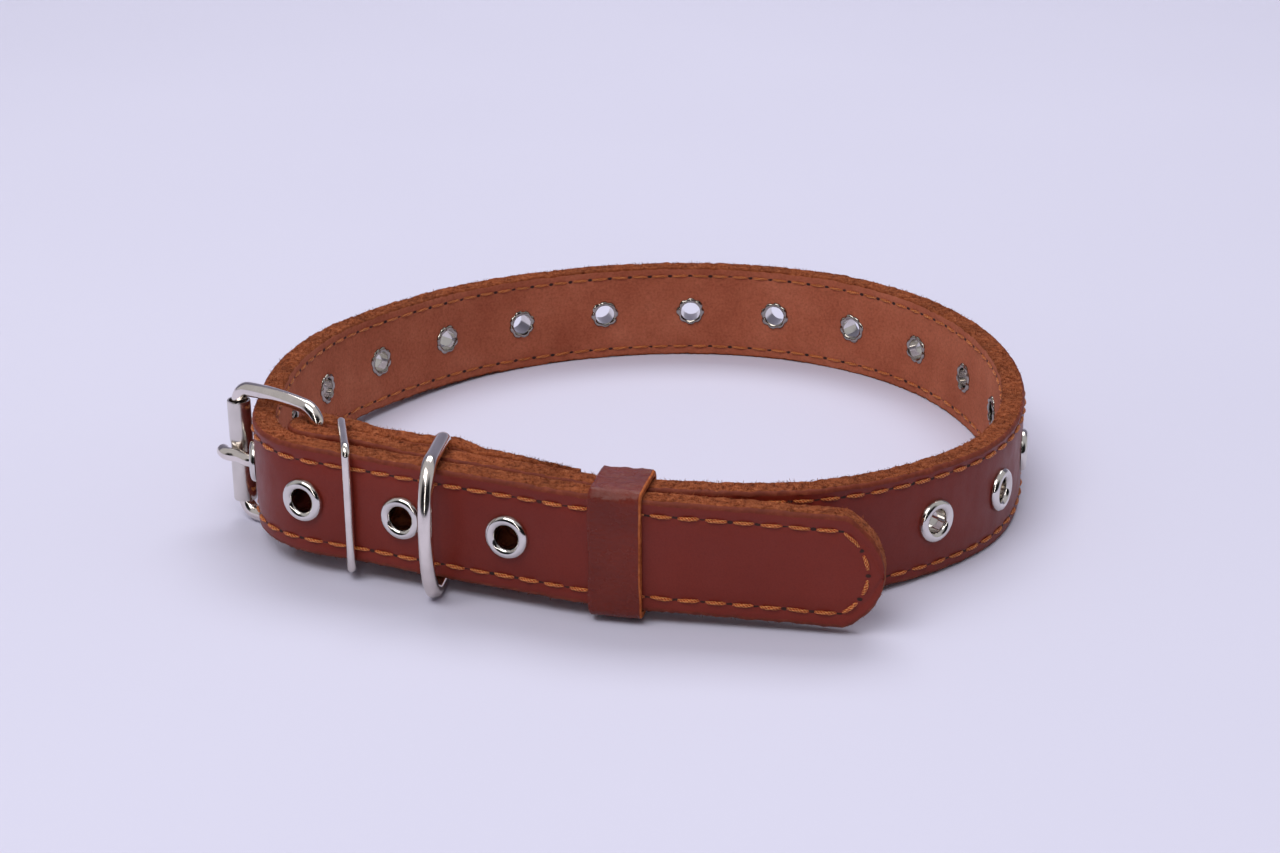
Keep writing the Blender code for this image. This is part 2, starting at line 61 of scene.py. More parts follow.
# Eyelets
EYELET_PITCH = 25.0 * MM
EYELET_FROM_TIP = 80.2 * MM
EYELET_HOLE_R = 2.65 * MM
EYELET_SHEET = 0.4 * MM
EYELET_RIM_R = 5.0 * MM
EYELET_RIM_HIGH = 1.15 * MM
PETALS = 8
PRONG_EYELET = 3

# Hardware
HINGE_FROM_TIP = 140.0 * MM
HINGE_GAP = 0.35 * MM
FRAME_WIRE = 3.4 * MM
ROLLER_STAND = 7.86 * MM
FRAME_BEND_R = 3.8 * MM
FRAME_BOW = 0.8 * MM
ARM_GAP = 0.8 * MM
ROLLER_R = 2.7 * MM
ROLLER_WALL = 0.4 * MM
ROLLER_SEAM = 0.7 * MM
PRONG_WIRE = 3.1 * MM
PRONG_PAST_FACE = 1.2 * MM
KEEPER_WIRE = 2.0 * MM
KEEPER_GAP = 0.35 * MM
KEEPER_BEND_R = 2.0 * MM
KEEPER_FRONT_FROM_TIP = 117.5 * MM
D_WIRE = 3.3 * MM
D_BOTTOM_GAP = 0.4 * MM
D_TOP_GAP = 0.8 * MM
D_DEEP = 22.8 * MM
D_BEND_R = 3.0 * MM
D_LEG_PAST = 0.6 * MM
D_SWING = math.radians(15.5)
CLEAR = 0.3 * MM

# Leather keeper
LOOP_THICK = 1.4 * MM
LOOP_WIDE = 11.3 * MM
LOOP_GAP = 0.4 * MM
LOOP_CORNER_R = 2.4 * MM
LOOP_FROM_TIP = 56.0 * MM

# Stitches
STITCH_PITCH = 5.75 * MM
STITCH_LONG = 4.5 * MM
STITCH_RISE = 0.42 * MM
STITCH_SINK = 0.40 * MM
THREAD_R = 0.42 * MM
MARGIN_TAIL = 3.4 * MM
MARGIN_MAIN = 2.5 * MM
HOLE_LONG = 0.62 * MM
HOLE_HIGH = 0.42 * MM

# Unevenness of the strap's faces and raw edges
STATION_STEP = 0.95 * MM
GROOVE_DEEP = 0.28 * MM
OUTER_WAVE = 0.12 * MM
INNER_WAVE = 0.10 * MM
RAW_WAVE = 0.20 * MM
RAW_FUZZ = 0.36 * MM
ROLLED_FUZZ = 0.12 * MM
FIBRE_STEP = 0.42 * MM
FLOOR_GAP = 0.05 * MM

# Studio, in metres: the floor's rows are distance back and height, rising to a wall behind
FLOOR_HALF = 4.0
FLOOR_ROWS = (
    (-4.0, 0.0), (1.2, 0.0), (1.5, 0.03), (1.75, 0.12), (1.95, 0.30), (2.05, 0.60), (2.1, 2.2),
)

# Rise of the strap's lower edge: the way it grows in plan, and the shares it runs between
LIFT_WAY = (-0.77, -0.64)
LIFT_START = -0.34
LIFT_END = 1.05
LIFT_POWER = 1.2

# Distance of each eyelet from the one nearest the tip, as a share of the pitch
EYELET_ROWS = (
    0.0, 0.996, 1.960, 3.008, 4.060, 5.128, 6.160, 7.184, 8.200, 9.200,
    10.192, 11.172, 12.144, 13.120, 14.120, 15.130, 16.130, 17.124, 18.096,
)

# Columns: share of half the loop's width, share of half its depth.
LOOP_ROWS = (
    (0.227, -0.852), (0.455, -0.810), (0.682, -0.680), (0.875, -0.480), (0.970, -0.240),
    (1.000, 0.034), (0.962, 0.324), (0.818, 0.640), (0.580, 0.860), (0.295, 0.970),
    (0.011, 0.984), (-0.273, 0.920), (-0.523, 0.783), (-0.739, 0.560), (-0.898, 0.310),
    (-0.974, 0.060), (-0.993, -0.150), (-0.990, -0.320), (-0.958, -0.503), (-0.892, -0.588),
    (-0.733, -0.660), (-0.560, -0.731), (-0.295, -0.833), (-0.132, -0.893), (0.114, -0.941),
    (0.318, -0.974), (0.557, -1.016),
)

# Columns: share of the turned-back length, gap under the tail, pocket, wire in the pocket.
STACK_ROWS = (
    (0.00, 0.10, 0.00, "hinge"), (0.165, 0.48, 0.00, "keeper"), (0.25, 0.48, 0.02, None),
    (0.345, 0.36, 0.02, None), (0.425, 0.18, 0.22, None), (0.521, 0.12, 0.00, "d_ring"),
    (0.605, 0.14, 0.20, None), (0.69, 0.16, 0.04, None), (0.82, 0.14, 0.02, None),
    (0.96, 0.08, 0.01, None),
)
UNDER_ROWS = ((1.10, 0.08), (1.26, 0.30))
SKIVE_ROWS = ((0.0, 0.14), (0.22, 0.50), (0.42, 0.84), (0.60, 0.90), (1.0, 0.88), (1.3, 0.95), (1.7, 1.0))
POCKET_WIRES = {"hinge": FRAME_WIRE, "keeper": KEEPER_WIRE, "d_ring": D_WIRE}


# Lines in the XY plane

def unit(vector):
    return vector / np.linalg.norm(vector)


def lifted(flat, height):
    """A point in the collar's plan, put at a height, in the frame of the solids."""
    return np.array([flat[0], flat[1], height]) + SHIFT


def table_value(rows, x, column=1):
    return float(np.interp(x, [row[0] for row in rows], [row[column] for row in rows]))


def natural_spline(points, step):
    """Points a short step apart on the natural cubic spline through the given points."""
    p = np.array(points, float)
    knots = np.concatenate([[0.0], np.cumsum(np.linalg.norm(np.diff(p, axis=0), axis=1))])
    gaps = np.diff(knots)
    count = len(p)
    rows = np.eye(count)
    right = np.zeros_like(p)
    for i in range(1, count - 1):
        rows[i, i - 1] = gaps[i - 1]
        rows[i, i] = 2.0 * (gaps[i - 1] + gaps[i])
        rows[i, i + 1] = gaps[i]
        right[i] = 6.0 * ((p[i + 1] - p[i]) / gaps[i] - (p[i] - p[i - 1]) / gaps[i - 1])
    bend = np.linalg.solve(rows, right)
    made = []
    for u in np.linspace(0.0, knots[-1], int(math.ceil(knots[-1] / step)) + 1):
        i = min(int(np.searchsorted(knots, u, side="right")) - 1, count - 2)
        h = gaps[i]
        a = knots[i + 1] - u
        b = u - knots[i]
        made.append(
            (bend[i] * a ** 3 + bend[i + 1] * b ** 3) / (6.0 * h)
            + (p[i] / h - bend[i] * h / 6.0) * a
            + (p[i + 1] / h - bend[i + 1] * h / 6.0) * b
        )
    return np.array(made)


class Line:
    """A smooth line in the XY plane, read by the distance along it."""

    def __init__(self, points):
        self.points = natural_spline(points, 0.0004)
        runs = np.linalg.norm(np.diff(self.points, axis=0), axis=1)
        self.at = np.concatenate([[0.0], np.cumsum(runs)])
        self.length = float(self.at[-1])
        steps = np.gradient(self.points, axis=0)
        self.ways = steps / np.linalg.norm(steps, axis=1)[:, None]

    def spot(self, s):
        return np.array([np.interp(s, self.at, self.points[:, k]) for k in (0, 1)])

    def along(self, s):
        return unit(np.array([np.interp(s, self.at, self.ways[:, k]) for k in (0, 1)]))

    def outward(self, s):
        """The grain side, on the right hand of the way along."""
        way = self.along(s)
        return np.array([way[1], -way[0]])


def loop_points():
    return [np.array(row) * HALF_LOOP for row in LOOP_ROWS]


TAIL = Line(loop_points())


def tail_frame(from_tip):
    s = TAIL.length - from_tip
    return TAIL.spot(s), TAIL.along(s), -TAIL.outward(s)


def skive(from_end):
    return STRAP_THICK * table_value(SKIVE_ROWS, from_end / TURN_BACK)


def stack():
    made = []
    for along, tail_gap, pocket, held in STACK_ROWS:
        least = POCKET_WIRES[held] + 2.0 * HINGE_GAP if held else LAYER_GAP
        made.append((along * TURN_BACK, LAYER_GAP + tail_gap * STRAP_THICK, least + pocket * STRAP_THICK))
    return made


def under_tail(along, depth):
    spot, _, inward = tail_frame(HINGE_FROM_TIP - along)
    return spot + inward * depth


def pocket_axis(held):
    """Axis of the wire held in the fold, against the strap under the tail."""
    along = next(row[0] for row in STACK_ROWS if row[3] == held) * TURN_BACK
    tail_gap = table_value(stack(), along)
    under = skive(TURN_BACK + along)
    return under_tail(along, STRAP_THICK / 2.0 + tail_gap + under + HINGE_GAP + POCKET_WIRES[held] / 2.0)


def strap_line():
    axis = pocket_axis("hinge")
    _, way, inward = tail_frame(HINGE_FROM_TIP)
    inner = []
    outer = []
    for along, tail_gap, pocket in stack():
        back = skive(TURN_BACK - along)
        under = skive(TURN_BACK + along)
        depth = STRAP_THICK / 2.0 + tail_gap + under / 2.0
        outer.append(under_tail(along, depth))
        inner.append(under_tail(along, depth + under / 2.0 + pocket + back / 2.0))
    for along, tail_gap in UNDER_ROWS:
        outer.append(under_tail(along * TURN_BACK, STRAP_THICK + LAYER_GAP + tail_gap * STRAP_THICK))
    reach = FRAME_WIRE / 2.0 + HINGE_GAP + skive(TURN_BACK) / 2.0
    turn = []
    for angle in (50.0, 90.0, 130.0):
        a = math.radians(angle)
        turn.append(axis + reach * (math.cos(a) * inward - math.sin(a) * way))
    return Line(inner[::-1] + turn + outer + loop_points())


STRAP = strap_line()
STATIONS = [STRAP.length - EYELET_FROM_TIP - share * EYELET_PITCH for share in EYELET_ROWS]


# Heights

def ramp(spot):
    share = (spot[0] * LIFT_WAY[0] + spot[1] * LIFT_WAY[1]) / float(HALF_LOOP.mean())
    share = (share - LIFT_START) / (LIFT_END - LIFT_START)
    return min(max(share, 0.0), 1.1) ** LIFT_POWER


def frame_line():
    """Hinge bar axis, end bar axis and the way between them, seen from above."""
    axis = pocket_axis("hinge")
    s = STATIONS[PRONG_EYELET]
    hole = STRAP.spot(s) + STRAP.outward(s) * STRAP_THICK / 2.0
    to_hole = unit(hole - axis)
    back = np.array([to_hole[1], -to_hole[0]])
    long = np.linalg.norm(hole - axis) + ROLLER_STAND
    turn = math.asin((ROLLER_R + PRONG_WIRE / 2.0 + CLEAR) / long)
    way = math.cos(turn) * to_hole + math.sin(turn) * back
    return axis, axis + way * long, way


FRAME_AXIS, FRAME_END, FRAME_WAY = frame_line()
LIFT = max(
    (FRAME_WIRE + ARM_GAP) / ramp((FRAME_AXIS + FRAME_END) / 2.0),
    (D_WIRE + D_BOTTOM_GAP) / ramp(pocket_axis("d_ring")),
)


def strap_bottom(spot):
    return LIFT * ramp(spot)


def strap_middle(spot):
    return strap_bottom(spot) + STRAP_WIDTH / 2.0


def strap_thick(s):
    if s < 2.0 * TURN_BACK:
        return skive(s)
    from_tip = STRAP.length - s
    return STRAP_THICK * (TIP_THIN + (1.0 - TIP_THIN) * min(1.0, from_tip / TIP_THIN_LONG))


def half_width(s):
    half = STRAP_WIDTH / 2.0
    over = s - (STRAP.length - TIP_SAG)
    if over <= 0.0:
        return half
    radius = (half ** 2 + TIP_SAG ** 2) / (2.0 * TIP_SAG)
    along = radius - TIP_SAG + over
    return math.sqrt(max(radius ** 2 - along ** 2, (0.02 * half) ** 2))


def on_strap(s, across, up):
    """A point of the strap: distance along it, out from its middle, and up from its middle."""
    spot = STRAP.spot(s)
    return lifted(spot + STRAP.outward(s) * across, strap_middle(spot) + up)


def margin(s):
    """Distance of the stitching from the strap's edges."""
    from_tip = STRAP.length - s
    share = min(max((from_tip - 0.130) / 0.030, 0.0), 1.0)
    return MARGIN_TAIL + (MARGIN_MAIN - MARGIN_TAIL) * share


def wobble(s, seed, size):
    """Smooth unevenness along the strap, between minus and plus size."""
    return size * noise.noise(Vector((s / MM / size / 12.0 * MM, seed * 7.3, 0.5)))


# Materials

def nodes_of(name):
    made = bpy.data.materials.new(name)
    made.use_nodes = True
    tree = made.node_tree
    return made, tree, tree.nodes["Principled BSDF"]


def node(tree, kind, **values):
    made = tree.nodes.new(kind)
    for key, value in values.items():
        if key in made.inputs:
            made.inputs[key].default_value = value
        else:
            setattr(made, key, value)
    return made


def noise_of(tree, vector, scale, detail=4.0, rough=0.55, stretch=(1.0, 1.0, 1.0)):
    """Noise on a vector, with its own stretch."""
    mapping = node(tree, "ShaderNodeMapping")
    mapping.inputs["Scale"].default_value = stretch
    tree.links.new(vector, mapping.inputs["Vector"])
    made = node(tree, "ShaderNodeTexNoise", Scale=scale, Detail=detail, Roughness=rough)
    tree.links.new(mapping.outputs["Vector"], made.inputs["Vector"])
    return made.outputs["Fac"]


def ramp_of(tree, value, stops):
    """A colour ramp: (place, grey or colour) for each stop."""
    made = node(tree, "ShaderNodeValToRGB")
    while len(made.color_ramp.elements) < len(stops):
        made.color_ramp.elements.new(0.5)
    for element, (place, colour) in zip(made.color_ramp.elements, stops):
        element.position = place
        element.color = (colour, colour, colour, 1.0) if isinstance(colour, float) else (*colour, 1.0)
    tree.links.new(value, made.inputs["Fac"])
    return made.outputs["Color"]


def mix(tree, factor, first, second, blend="MIX"):
    """Mixes two colours or links by a factor or link."""
    made = node(tree, "ShaderNodeMix", data_type="RGBA", blend_type=blend)
    # Sockets 6 and 7 of this node are its two colours
    for number, value in ((0, factor), (6, first), (7, second)):
        socket = made.inputs[number]
        if isinstance(value, float):
            socket.default_value = value
        elif isinstance(value, tuple):
            socket.default_value = (*value, 1.0)
        else:
            tree.links.new(value, socket)
    return made.outputs[2]


def dress(tree, shader, values):
    """Puts a plain value or a link on each named socket of the shader."""
    for name, value in values.items():
        if isinstance(value, bpy.types.NodeSocket):
            tree.links.new(value, shader.inputs[name])
        else:
            shader.inputs[name].default_value = value


def bump(tree, shader, height, distance, strength=1.0, before=None):
    made = node(tree, "ShaderNodeBump", Strength=strength, Distance=distance)
    tree.links.new(height, made.inputs["Height"])
    if before is not None:
        tree.links.new(before, made.inputs["Normal"])
    tree.links.new(made.outputs["Normal"], shader.inputs["Normal"])
    return made.outputs["Normal"]


def object_vector(tree):
    return node(tree, "ShaderNodeTexCoord").outputs["Object"]


def grain_leather():
    """Smooth coloured grain side: fine pores, soft creases and a little uneven dye."""
    made, tree, shader = nodes_of("leather_grain")
    vector = object_vector(tree)
    clouds = noise_of(tree, vector, 26.0, 3.0)
    colour = ramp_of(tree, clouds, ((0.25, (0.156, 0.0150, 0.0075)), (0.55, (0.185, 0.0195, 0.0098)),
                                    (0.80, (0.217, 0.0260, 0.0135))))
    pores = noise_of(tree, vector, 2600.0, 2.0, 0.6)
    speck = ramp_of(tree, pores, ((0.30, 0.80), (0.55, 1.0)))
    colour = mix(tree, 0.6, colour, speck, "MULTIPLY")
    rough = ramp_of(tree, noise_of(tree, vector, 180.0, 4.0), ((0.3, 0.36), (0.75, 0.50)))
    dress(tree, shader, {"Base Color": colour, "Roughness": rough, "Specular IOR Level": 0.26})
    creases = noise_of(tree, vector, 420.0, 3.0, 0.6)
    first = bump(tree, shader, creases, 0.00010, 0.5)
    bump(tree, shader, pores, 0.00006, 0.5, first)
    return made


def split_leather():
    """The rough flesh side: matte nap, blotches and short fibres."""
    made, tree, shader = nodes_of("leather_split")
    vector = object_vector(tree)
    blotch = noise_of(tree, vector, 60.0, 5.0, 0.6)
    colour = ramp_of(tree, blotch, ((0.25, (0.320, 0.078, 0.040)), (0.5, (0.405, 0.112, 0.059)),
                                    (0.75, (0.480, 0.148, 0.082))))
    fibres = noise_of(tree, vector, 1500.0, 4.0, 0.7)
    speck = ramp_of(tree, fibres, ((0.28, 0.62), (0.52, 1.0), (0.74, 1.25)))
    colour = mix(tree, 0.75, colour, speck, "MULTIPLY")
    dress(tree, shader, {
        "Base Color": colour, "Roughness": 0.92, "Specular IOR Level": 0.10,
        "Sheen Weight": 0.10, "Sheen Roughness": 0.6, "Sheen Tint": (0.85, 0.45, 0.30, 1.0),
    })
    bump(tree, shader, fibres, 0.00022, 0.9)
    return made


def raw_edge():
    """Cut edge: orange-brown and fibrous, the pits between the fibres painted darker as shade."""
    made, tree, shader = nodes_of("leather_raw_edge")
    vector = object_vector(tree)
    coarse = noise_of(tree, vector, 700.0, 5.0, 0.7)
    # The near-black bottom of this ramp is painted shade, falling where the bump below sinks into pits
    colour = ramp_of(tree, coarse, ((0.28, (0.060, 0.011, 0.005)), (0.41, (0.200, 0.044, 0.016)),
                                    (0.56, (0.320, 0.083, 0.031)), (0.76, (0.480, 0.160, 0.068))))
    shade = ramp_of(tree, noise_of(tree, vector, 90.0, 3.0), ((0.3, 0.65), (0.7, 1.1)))
    colour = mix(tree, 0.8, colour, shade, "MULTIPLY")
    dress(tree, shader, {
        "Base Color": colour, "Roughness": 0.95, "Specular IOR Level": 0.08,
        "Sheen Weight": 0.12, "Sheen Roughness": 0.5, "Sheen Tint": (0.95, 0.50, 0.30, 1.0),
    })
    bump(tree, shader, coarse, 0.0008, 1.0)
    return made


def rolled_edge():
    """The grain turned over the cut edge: browner and duller than the face."""
    made, tree, shader = nodes_of("leather_rolled_edge")
    vector = object_vector(tree)
    coarse = noise_of(tree, vector, 500.0, 4.0, 0.65)
    colour = ramp_of(tree, coarse, ((0.25, (0.110, 0.017, 0.008)), (0.55, (0.180, 0.031, 0.013)),
                                    (0.80, (0.270, 0.062, 0.026))))
    dress(tree, shader, {"Base Color": colour, "Roughness": 0.62, "Specular IOR Level": 0.22})
    bump(tree, shader, coarse, 0.00018, 0.7)
    return made


def cut_edge():
    """Clean cut through thin leather: bare orange-tan, hardly dyed."""
    made, tree, shader = nodes_of("leather_cut_edge")
    vector = object_vector(tree)
    tone = noise_of(tree, vector, 800.0, 4.0, 0.6)
    colour = ramp_of(tree, tone, ((0.3, (0.260, 0.055, 0.016)), (0.55, (0.470, 0.125, 0.036)),
                                  (0.80, (0.620, 0.210, 0.075))))
    dress(tree, shader, {"Base Color": colour, "Roughness": 0.8, "Specular IOR Level": 0.15})
    bump(tree, shader, tone, 0.00012, 0.6)
    return made


def keeper_leather():
    """Thin glossy finished leather, with crinkles where it bends."""
    made, tree, shader = nodes_of("keeper_leather_gloss")
    vector = object_vector(tree)
    clouds = noise_of(tree, vector, 55.0, 3.0)
    colour = ramp_of(tree, clouds, ((0.3, (0.115, 0.011, 0.004)), (0.7, (0.175, 0.020, 0.008))))
    rough = ramp_of(tree, noise_of(tree, vector, 260.0, 4.0), ((0.3, 0.18), (0.75, 0.34)))
    dress(tree, shader, {"Base Color": colour, "Roughness": rough, "Specular IOR Level": 0.30})
    crinkle = noise_of(tree, vector, 620.0, 5.0, 0.62, (1.0, 1.0, 1.6))
    first = bump(tree, shader, crinkle, 0.00060, 0.60)
    bump(tree, shader, noise_of(tree, vector, 2400.0, 2.0), 0.00006, 0.5, first)
    return made


def thread():
    """Twisted orange thread: two plies, with a painted highlight where they stand up and painted shade
    between.
    """
    made, tree, shader = nodes_of("thread")
    uv = node(tree, "ShaderNodeUVMap", uv_map="twist").outputs["UV"]
    wave = node(tree, "ShaderNodeTexWave", wave_type="BANDS", bands_direction="DIAGONAL",
                Scale=1.0, Distortion=0.6, Detail=1.0)
    tree.links.new(uv, wave.inputs["Vector"])
    # Painted light: the pale top of this ramp is a painted highlight on the ply crests, the deep bottom
    # painted shade between the plies
    colour = ramp_of(tree, wave.outputs["Fac"], ((0.08, (0.420, 0.040, 0.004)), (0.42, (1.000, 0.150, 0.015)),
                                                 (0.88, (1.000, 0.420, 0.120))))
    dirt = ramp_of(tree, noise_of(tree, object_vector(tree), 130.0, 3.0), ((0.3, 0.82), (0.6, 1.0)))
    colour = mix(tree, 0.8, colour, dirt, "MULTIPLY")
    dress(tree, shader, {
        "Base Color": colour, "Roughness": 0.55, "Specular IOR Level": 0.5,
        "Sheen Weight": 0.1, "Sheen Roughness": 0.4, "Sheen Tint": (1.0, 0.55, 0.28, 1.0),
    })
    bump(tree, shader, wave.outputs["Fac"], 0.00030, 1.0)
    return made


def painted_hole_shade():
    """Painted shade: the dark mouth of a stitching hole."""
    made, tree, shader = nodes_of("painted_hole_shade")
    tone = noise_of(tree, object_vector(tree), 900.0, 2.0)
    colour = ramp_of(tree, tone, ((0.3, (0.016, 0.004, 0.003)), (0.7, (0.050, 0.012, 0.007))))
    dress(tree, shader, {"Base Color": colour, "Roughness": 0.9})
    return made


def nickel(name, rough_low, rough_high, tint):
    """Polished nickel plate with faint haze and handling marks."""
    made, tree, shader = nodes_of(name)
    vector = object_vector(tree)
    haze = noise_of(tree, vector, 240.0, 4.0)
    colour = ramp_of(tree, haze, ((0.30, tuple(0.86 * v for v in tint)), (0.70, tint)))
    marks = noise_of(tree, vector, 900.0, 3.0, 0.6, (1.0, 1.0, 0.3))
    rough = ramp_of(tree, marks, ((0.30, rough_low), (0.75, rough_high)))
    dress(tree, shader, {"Base Color": colour, "Roughness": rough, "Metallic": 1.0})
    bump(tree, shader, haze, 0.00003, 0.35)
    return made


GRAIN = grain_leather()
SPLIT = split_leather()
EDGE = raw_edge()
ROLLED = rolled_edge()
CUT = cut_edge()
GLOSS = keeper_leather()
THREAD = thread()
# Painted shade for the mouths of the stitching holes
HOLE_SHADE = painted_hole_shade()
NICKEL = nickel("nickel_wire", 0.10, 0.20, (0.80, 0.73, 0.68))
BRIGHT = nickel("nickel_eyelet", 0.08, 0.16, (0.72, 0.68, 0.64))
# Painted shade: a darker copy of the nickel for the crimped eyelet backs inside the collar; its higher
# roughness is real dullness
DULL_SHADED_NICKEL = nickel("nickel_crimp_painted_shade", 0.14, 0.28, (0.34, 0.31, 0.28))
SATIN = nickel("nickel_sheet", 0.18, 0.28, (0.72, 0.67, 0.62))


# Meshes

def add_mesh(name, verts, faces, looks, face_looks=None, smooth=True, sharp=50.0):
    """A mesh object with its materials."""
    mesh = bpy.data.meshes.new(name)
    mesh.from_pydata([tuple(float(c) for c in v) for v in verts], [], faces)
    for look in looks:
        mesh.materials.append(look)
    if face_looks is not None:
        mesh.polygons.foreach_set("material_index", face_looks)
    made = bpy.data.objects.new(name, mesh)
    bpy.context.scene.collection.objects.link(made)
    work = bmesh.new()
    work.from_mesh(mesh)
    bmesh.ops.recalc_face_normals(work, faces=work.faces)
    work.to_mesh(mesh)
    work.free()
    if smooth:
        mesh.shade_smooth()
        mesh.set_sharp_from_angle(angle=math.radians(sharp))
    return made


def loft(rings, closed=False, caps=True):
    """Vertices and faces of a tube through rings of corners."""
    count = len(rings[0])
    total = len(rings)
    verts = [corner for ring in rings for corner in ring]
    faces = []
    for i in range(total if closed else total - 1):
        j = (i + 1) % total
        for k in range(count):
            m = (k + 1) % count
            faces.append((i * count + k, i * count + m, j * count + m, j * count + k))
    if caps and not closed:
        faces.append(tuple(range(count)))
        faces.append(tuple((total - 1) * count + k for k in range(count)))
    return verts, faces


def join(solids):
    """One list of vertices and faces from several."""
    verts = []
    faces = []
    for some_verts, some_faces in solids:
        start = len(verts)
        verts.extend(some_verts)
        faces.extend(tuple(start + k for k in face) for face in some_faces)
    return verts, faces


def place(piece, body, slot, *nodes):
    """The piece rides on its body and stands for its solids; its slot is not used."""
    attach(piece, body)
    if nodes:
        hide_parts(*nodes)
    return piece


# Strap

def groove(s):
    """Depth that the stitching pulls the grain side in."""
    return GROOVE_DEEP * min(1.0, strap_thick(s) / (4.0 * MM))


def uneven(s, up, inner):
    """Slow rise and fall of one face of the strap."""
    if inner:
        return wobble(s + up * 3.0, 5.0, INNER_WAVE)
    return wobble(s + up * 3.0, 2.0, OUTER_WAVE)


def strap_ring(s):
    """Corners round the strap's section, and the material of the strip after each corner."""
    half = half_width(s)
    thick = strap_thick(s) / 2.0
    roll = min(1.0 * MM, 0.55 * thick, 0.5 * half)
    ease = min(0.45 * MM, 0.4 * thick, 0.3 * half)
    sink = groove(s)
    inset = min(margin(s), 0.75 * half)
    line = half - inset
    spread = min(1.4 * MM, 0.35 * half)
    ups = []
    for share, low in ((-1.0, 0), (1.0, 1)):
        middle = share * line
        ups += [(middle - spread, 0.0), (middle - spread / 2, 0.55), (middle, 1.0),
                (middle + spread / 2, 0.55), (middle + spread, 0.0)]
    ups += [(share * (line - spread), 0.0) for share in (-0.66, -0.33, 0.0, 0.33, 0.66)]
    ups.sort()
    ring = []
    kinds = []
    for up, deep in ups:
        ring.append((thick - sink * deep + uneven(s, up, False), up))
        kinds.append(0)
    half += wobble(s, 9.0, RAW_WAVE)
    corner_grain = []
    for angle in (0.0, 22.0, 45.0, 68.0, 90.0):
        a = math.radians(angle)
        corner_grain.append((thick - roll + roll * math.cos(a), half - roll + roll * math.sin(a)))
    corner_back = []
    for angle in (90.0, 45.0, 0.0):
        a = math.radians(angle)
        corner_back.append((-thick + ease - ease * math.cos(a), half - ease + ease * math.sin(a)))
    raw = [(share * thick, half) for share in (0.45, 0.22, 0.0, -0.22, -0.45, -0.68)]
    top = corner_grain + raw + corner_back
    raw_faces = len(raw) + len(corner_back) + 1
    ring += top
    kinds += [1, 1, 1] + [2] * raw_faces + [3]
    for up, deep in reversed(ups):
        ring.append((-thick + 0.5 * sink * deep + uneven(s, up, True), up))
        kinds.append(3)
    bottom = [(across, -up) for across, up in reversed(top)]
    ring += bottom
    kinds += [2] * raw_faces + [1, 1, 1, 0]
    return ring, kinds


def strap_stations():
    """Distances along the strap of its sections, closer together round the tip."""
    count = int((STRAP.length - TIP_SAG) / STATION_STEP)
    made = [k * (STRAP.length - TIP_SAG) / count for k in range(count)]
    for k in range(15):
        share = 1.0 - (1.0 - k / 14.0) ** 1.8
        made.append(STRAP.length - TIP_SAG * (1.0 - share))
    return made


def fuzz(point, size):
    """Small push of a point of a raw edge, in all three ways."""
    v = Vector(tuple(point)) * 1600.0
    push = noise.noise_vector(v) * 0.65 + noise.noise_vector(v * 2.7) * 0.35
    return np.array(push) * size


def build_strap():
    rings = []
    face_looks = []
    stations = strap_stations()
    for number, s in enumerate(stations):
        ring, kinds = strap_ring(s)
        points = []
        for (across, up), kind, last in zip(ring, kinds, kinds[-1:] + kinds[:-1]):
            point = on_strap(s, across, up)
            if kind == 2 or last == 2:
                point = point + fuzz(point, RAW_FUZZ)
            elif kind == 1 or last == 1:
                point = point + fuzz(point, ROLLED_FUZZ)
            point[2] = max(point[2], FLOOR_GAP)
            points.append(point)
        rings.append(points)
        if number < len(stations) - 1:
            face_looks.extend(kinds)
    verts, faces = loft(rings)
    face_looks += [2, 2]
    strap = add_mesh("strap_leather", verts, faces, [GRAIN, ROLLED, EDGE, SPLIT], face_looks, sharp=180.0)
    cutters = []
    for s in STATIONS:
        centre = on_strap(s, 0.0, 0.0)
        out = np.array([*STRAP.outward(s), 0.0])
        radius = EYELET_HOLE_R + EYELET_SHEET + 0.15 * MM
        ends = [disc(centre + out * STRAP_THICK * side, out, radius, 28) for side in (-1.0, 1.0)]
        cutters.append(loft(ends))
    cutters.append(prong_slot())
    cutter = add_mesh("cutter", *join(cutters), [EDGE], smooth=False)
    holes = strap.modifiers.new("holes", "BOOLEAN")
    holes.operation = "DIFFERENCE"
    holes.solver = "EXACT"
    holes.object = cutter
    bake_modifiers(strap)
    bpy.data.objects.remove(cutter)
    return place(strap, "collar", "leather", "strap")


def bake_modifiers(piece):
    """The piece's mesh becomes what its modifiers make of it."""
    bpy.context.view_layer.update()
    graph = bpy.context.evaluated_depsgraph_get()
    mesh = bpy.data.meshes.new_from_object(piece.evaluated_get(graph), depsgraph=graph)
    piece.modifiers.clear()
    piece.data = mesh
    mesh.shade_smooth()
    mesh.set_sharp_from_angle(angle=math.radians(60.0))


def prong_slot():
    side = np.array([-FRAME_WAY[1], FRAME_WAY[0]])
    half = PRONG_WIRE / 2.0 + 0.5 * MM
    wide = FRAME_WIRE / 2.0 + CLEAR + PRONG_WIRE + 0.5 * MM
    out = FRAME_WIRE / 2.0 + HINGE_GAP + STRAP_THICK + 0.5 * MM
    rings = []
    for up in (-half, half):
        rings.append([lifted(FRAME_AXIS + FRAME_WAY * a + side * b, strap_middle(FRAME_END) + up)
                      for a, b in ((-wide, -wide), (out, -wide), (out, wide), (-wide, wide))])
    return loft(rings)


def disc(centre, axis, radius, sides):
    up = np.array([0.0, 0.0, 1.0])
    side = np.cross(up, axis)
    angles = [2.0 * math.pi * (k + 0.5) / sides for k in range(sides)]
    return [centre + radius * (math.cos(a) * side + math.sin(a) * up) for a in angles]


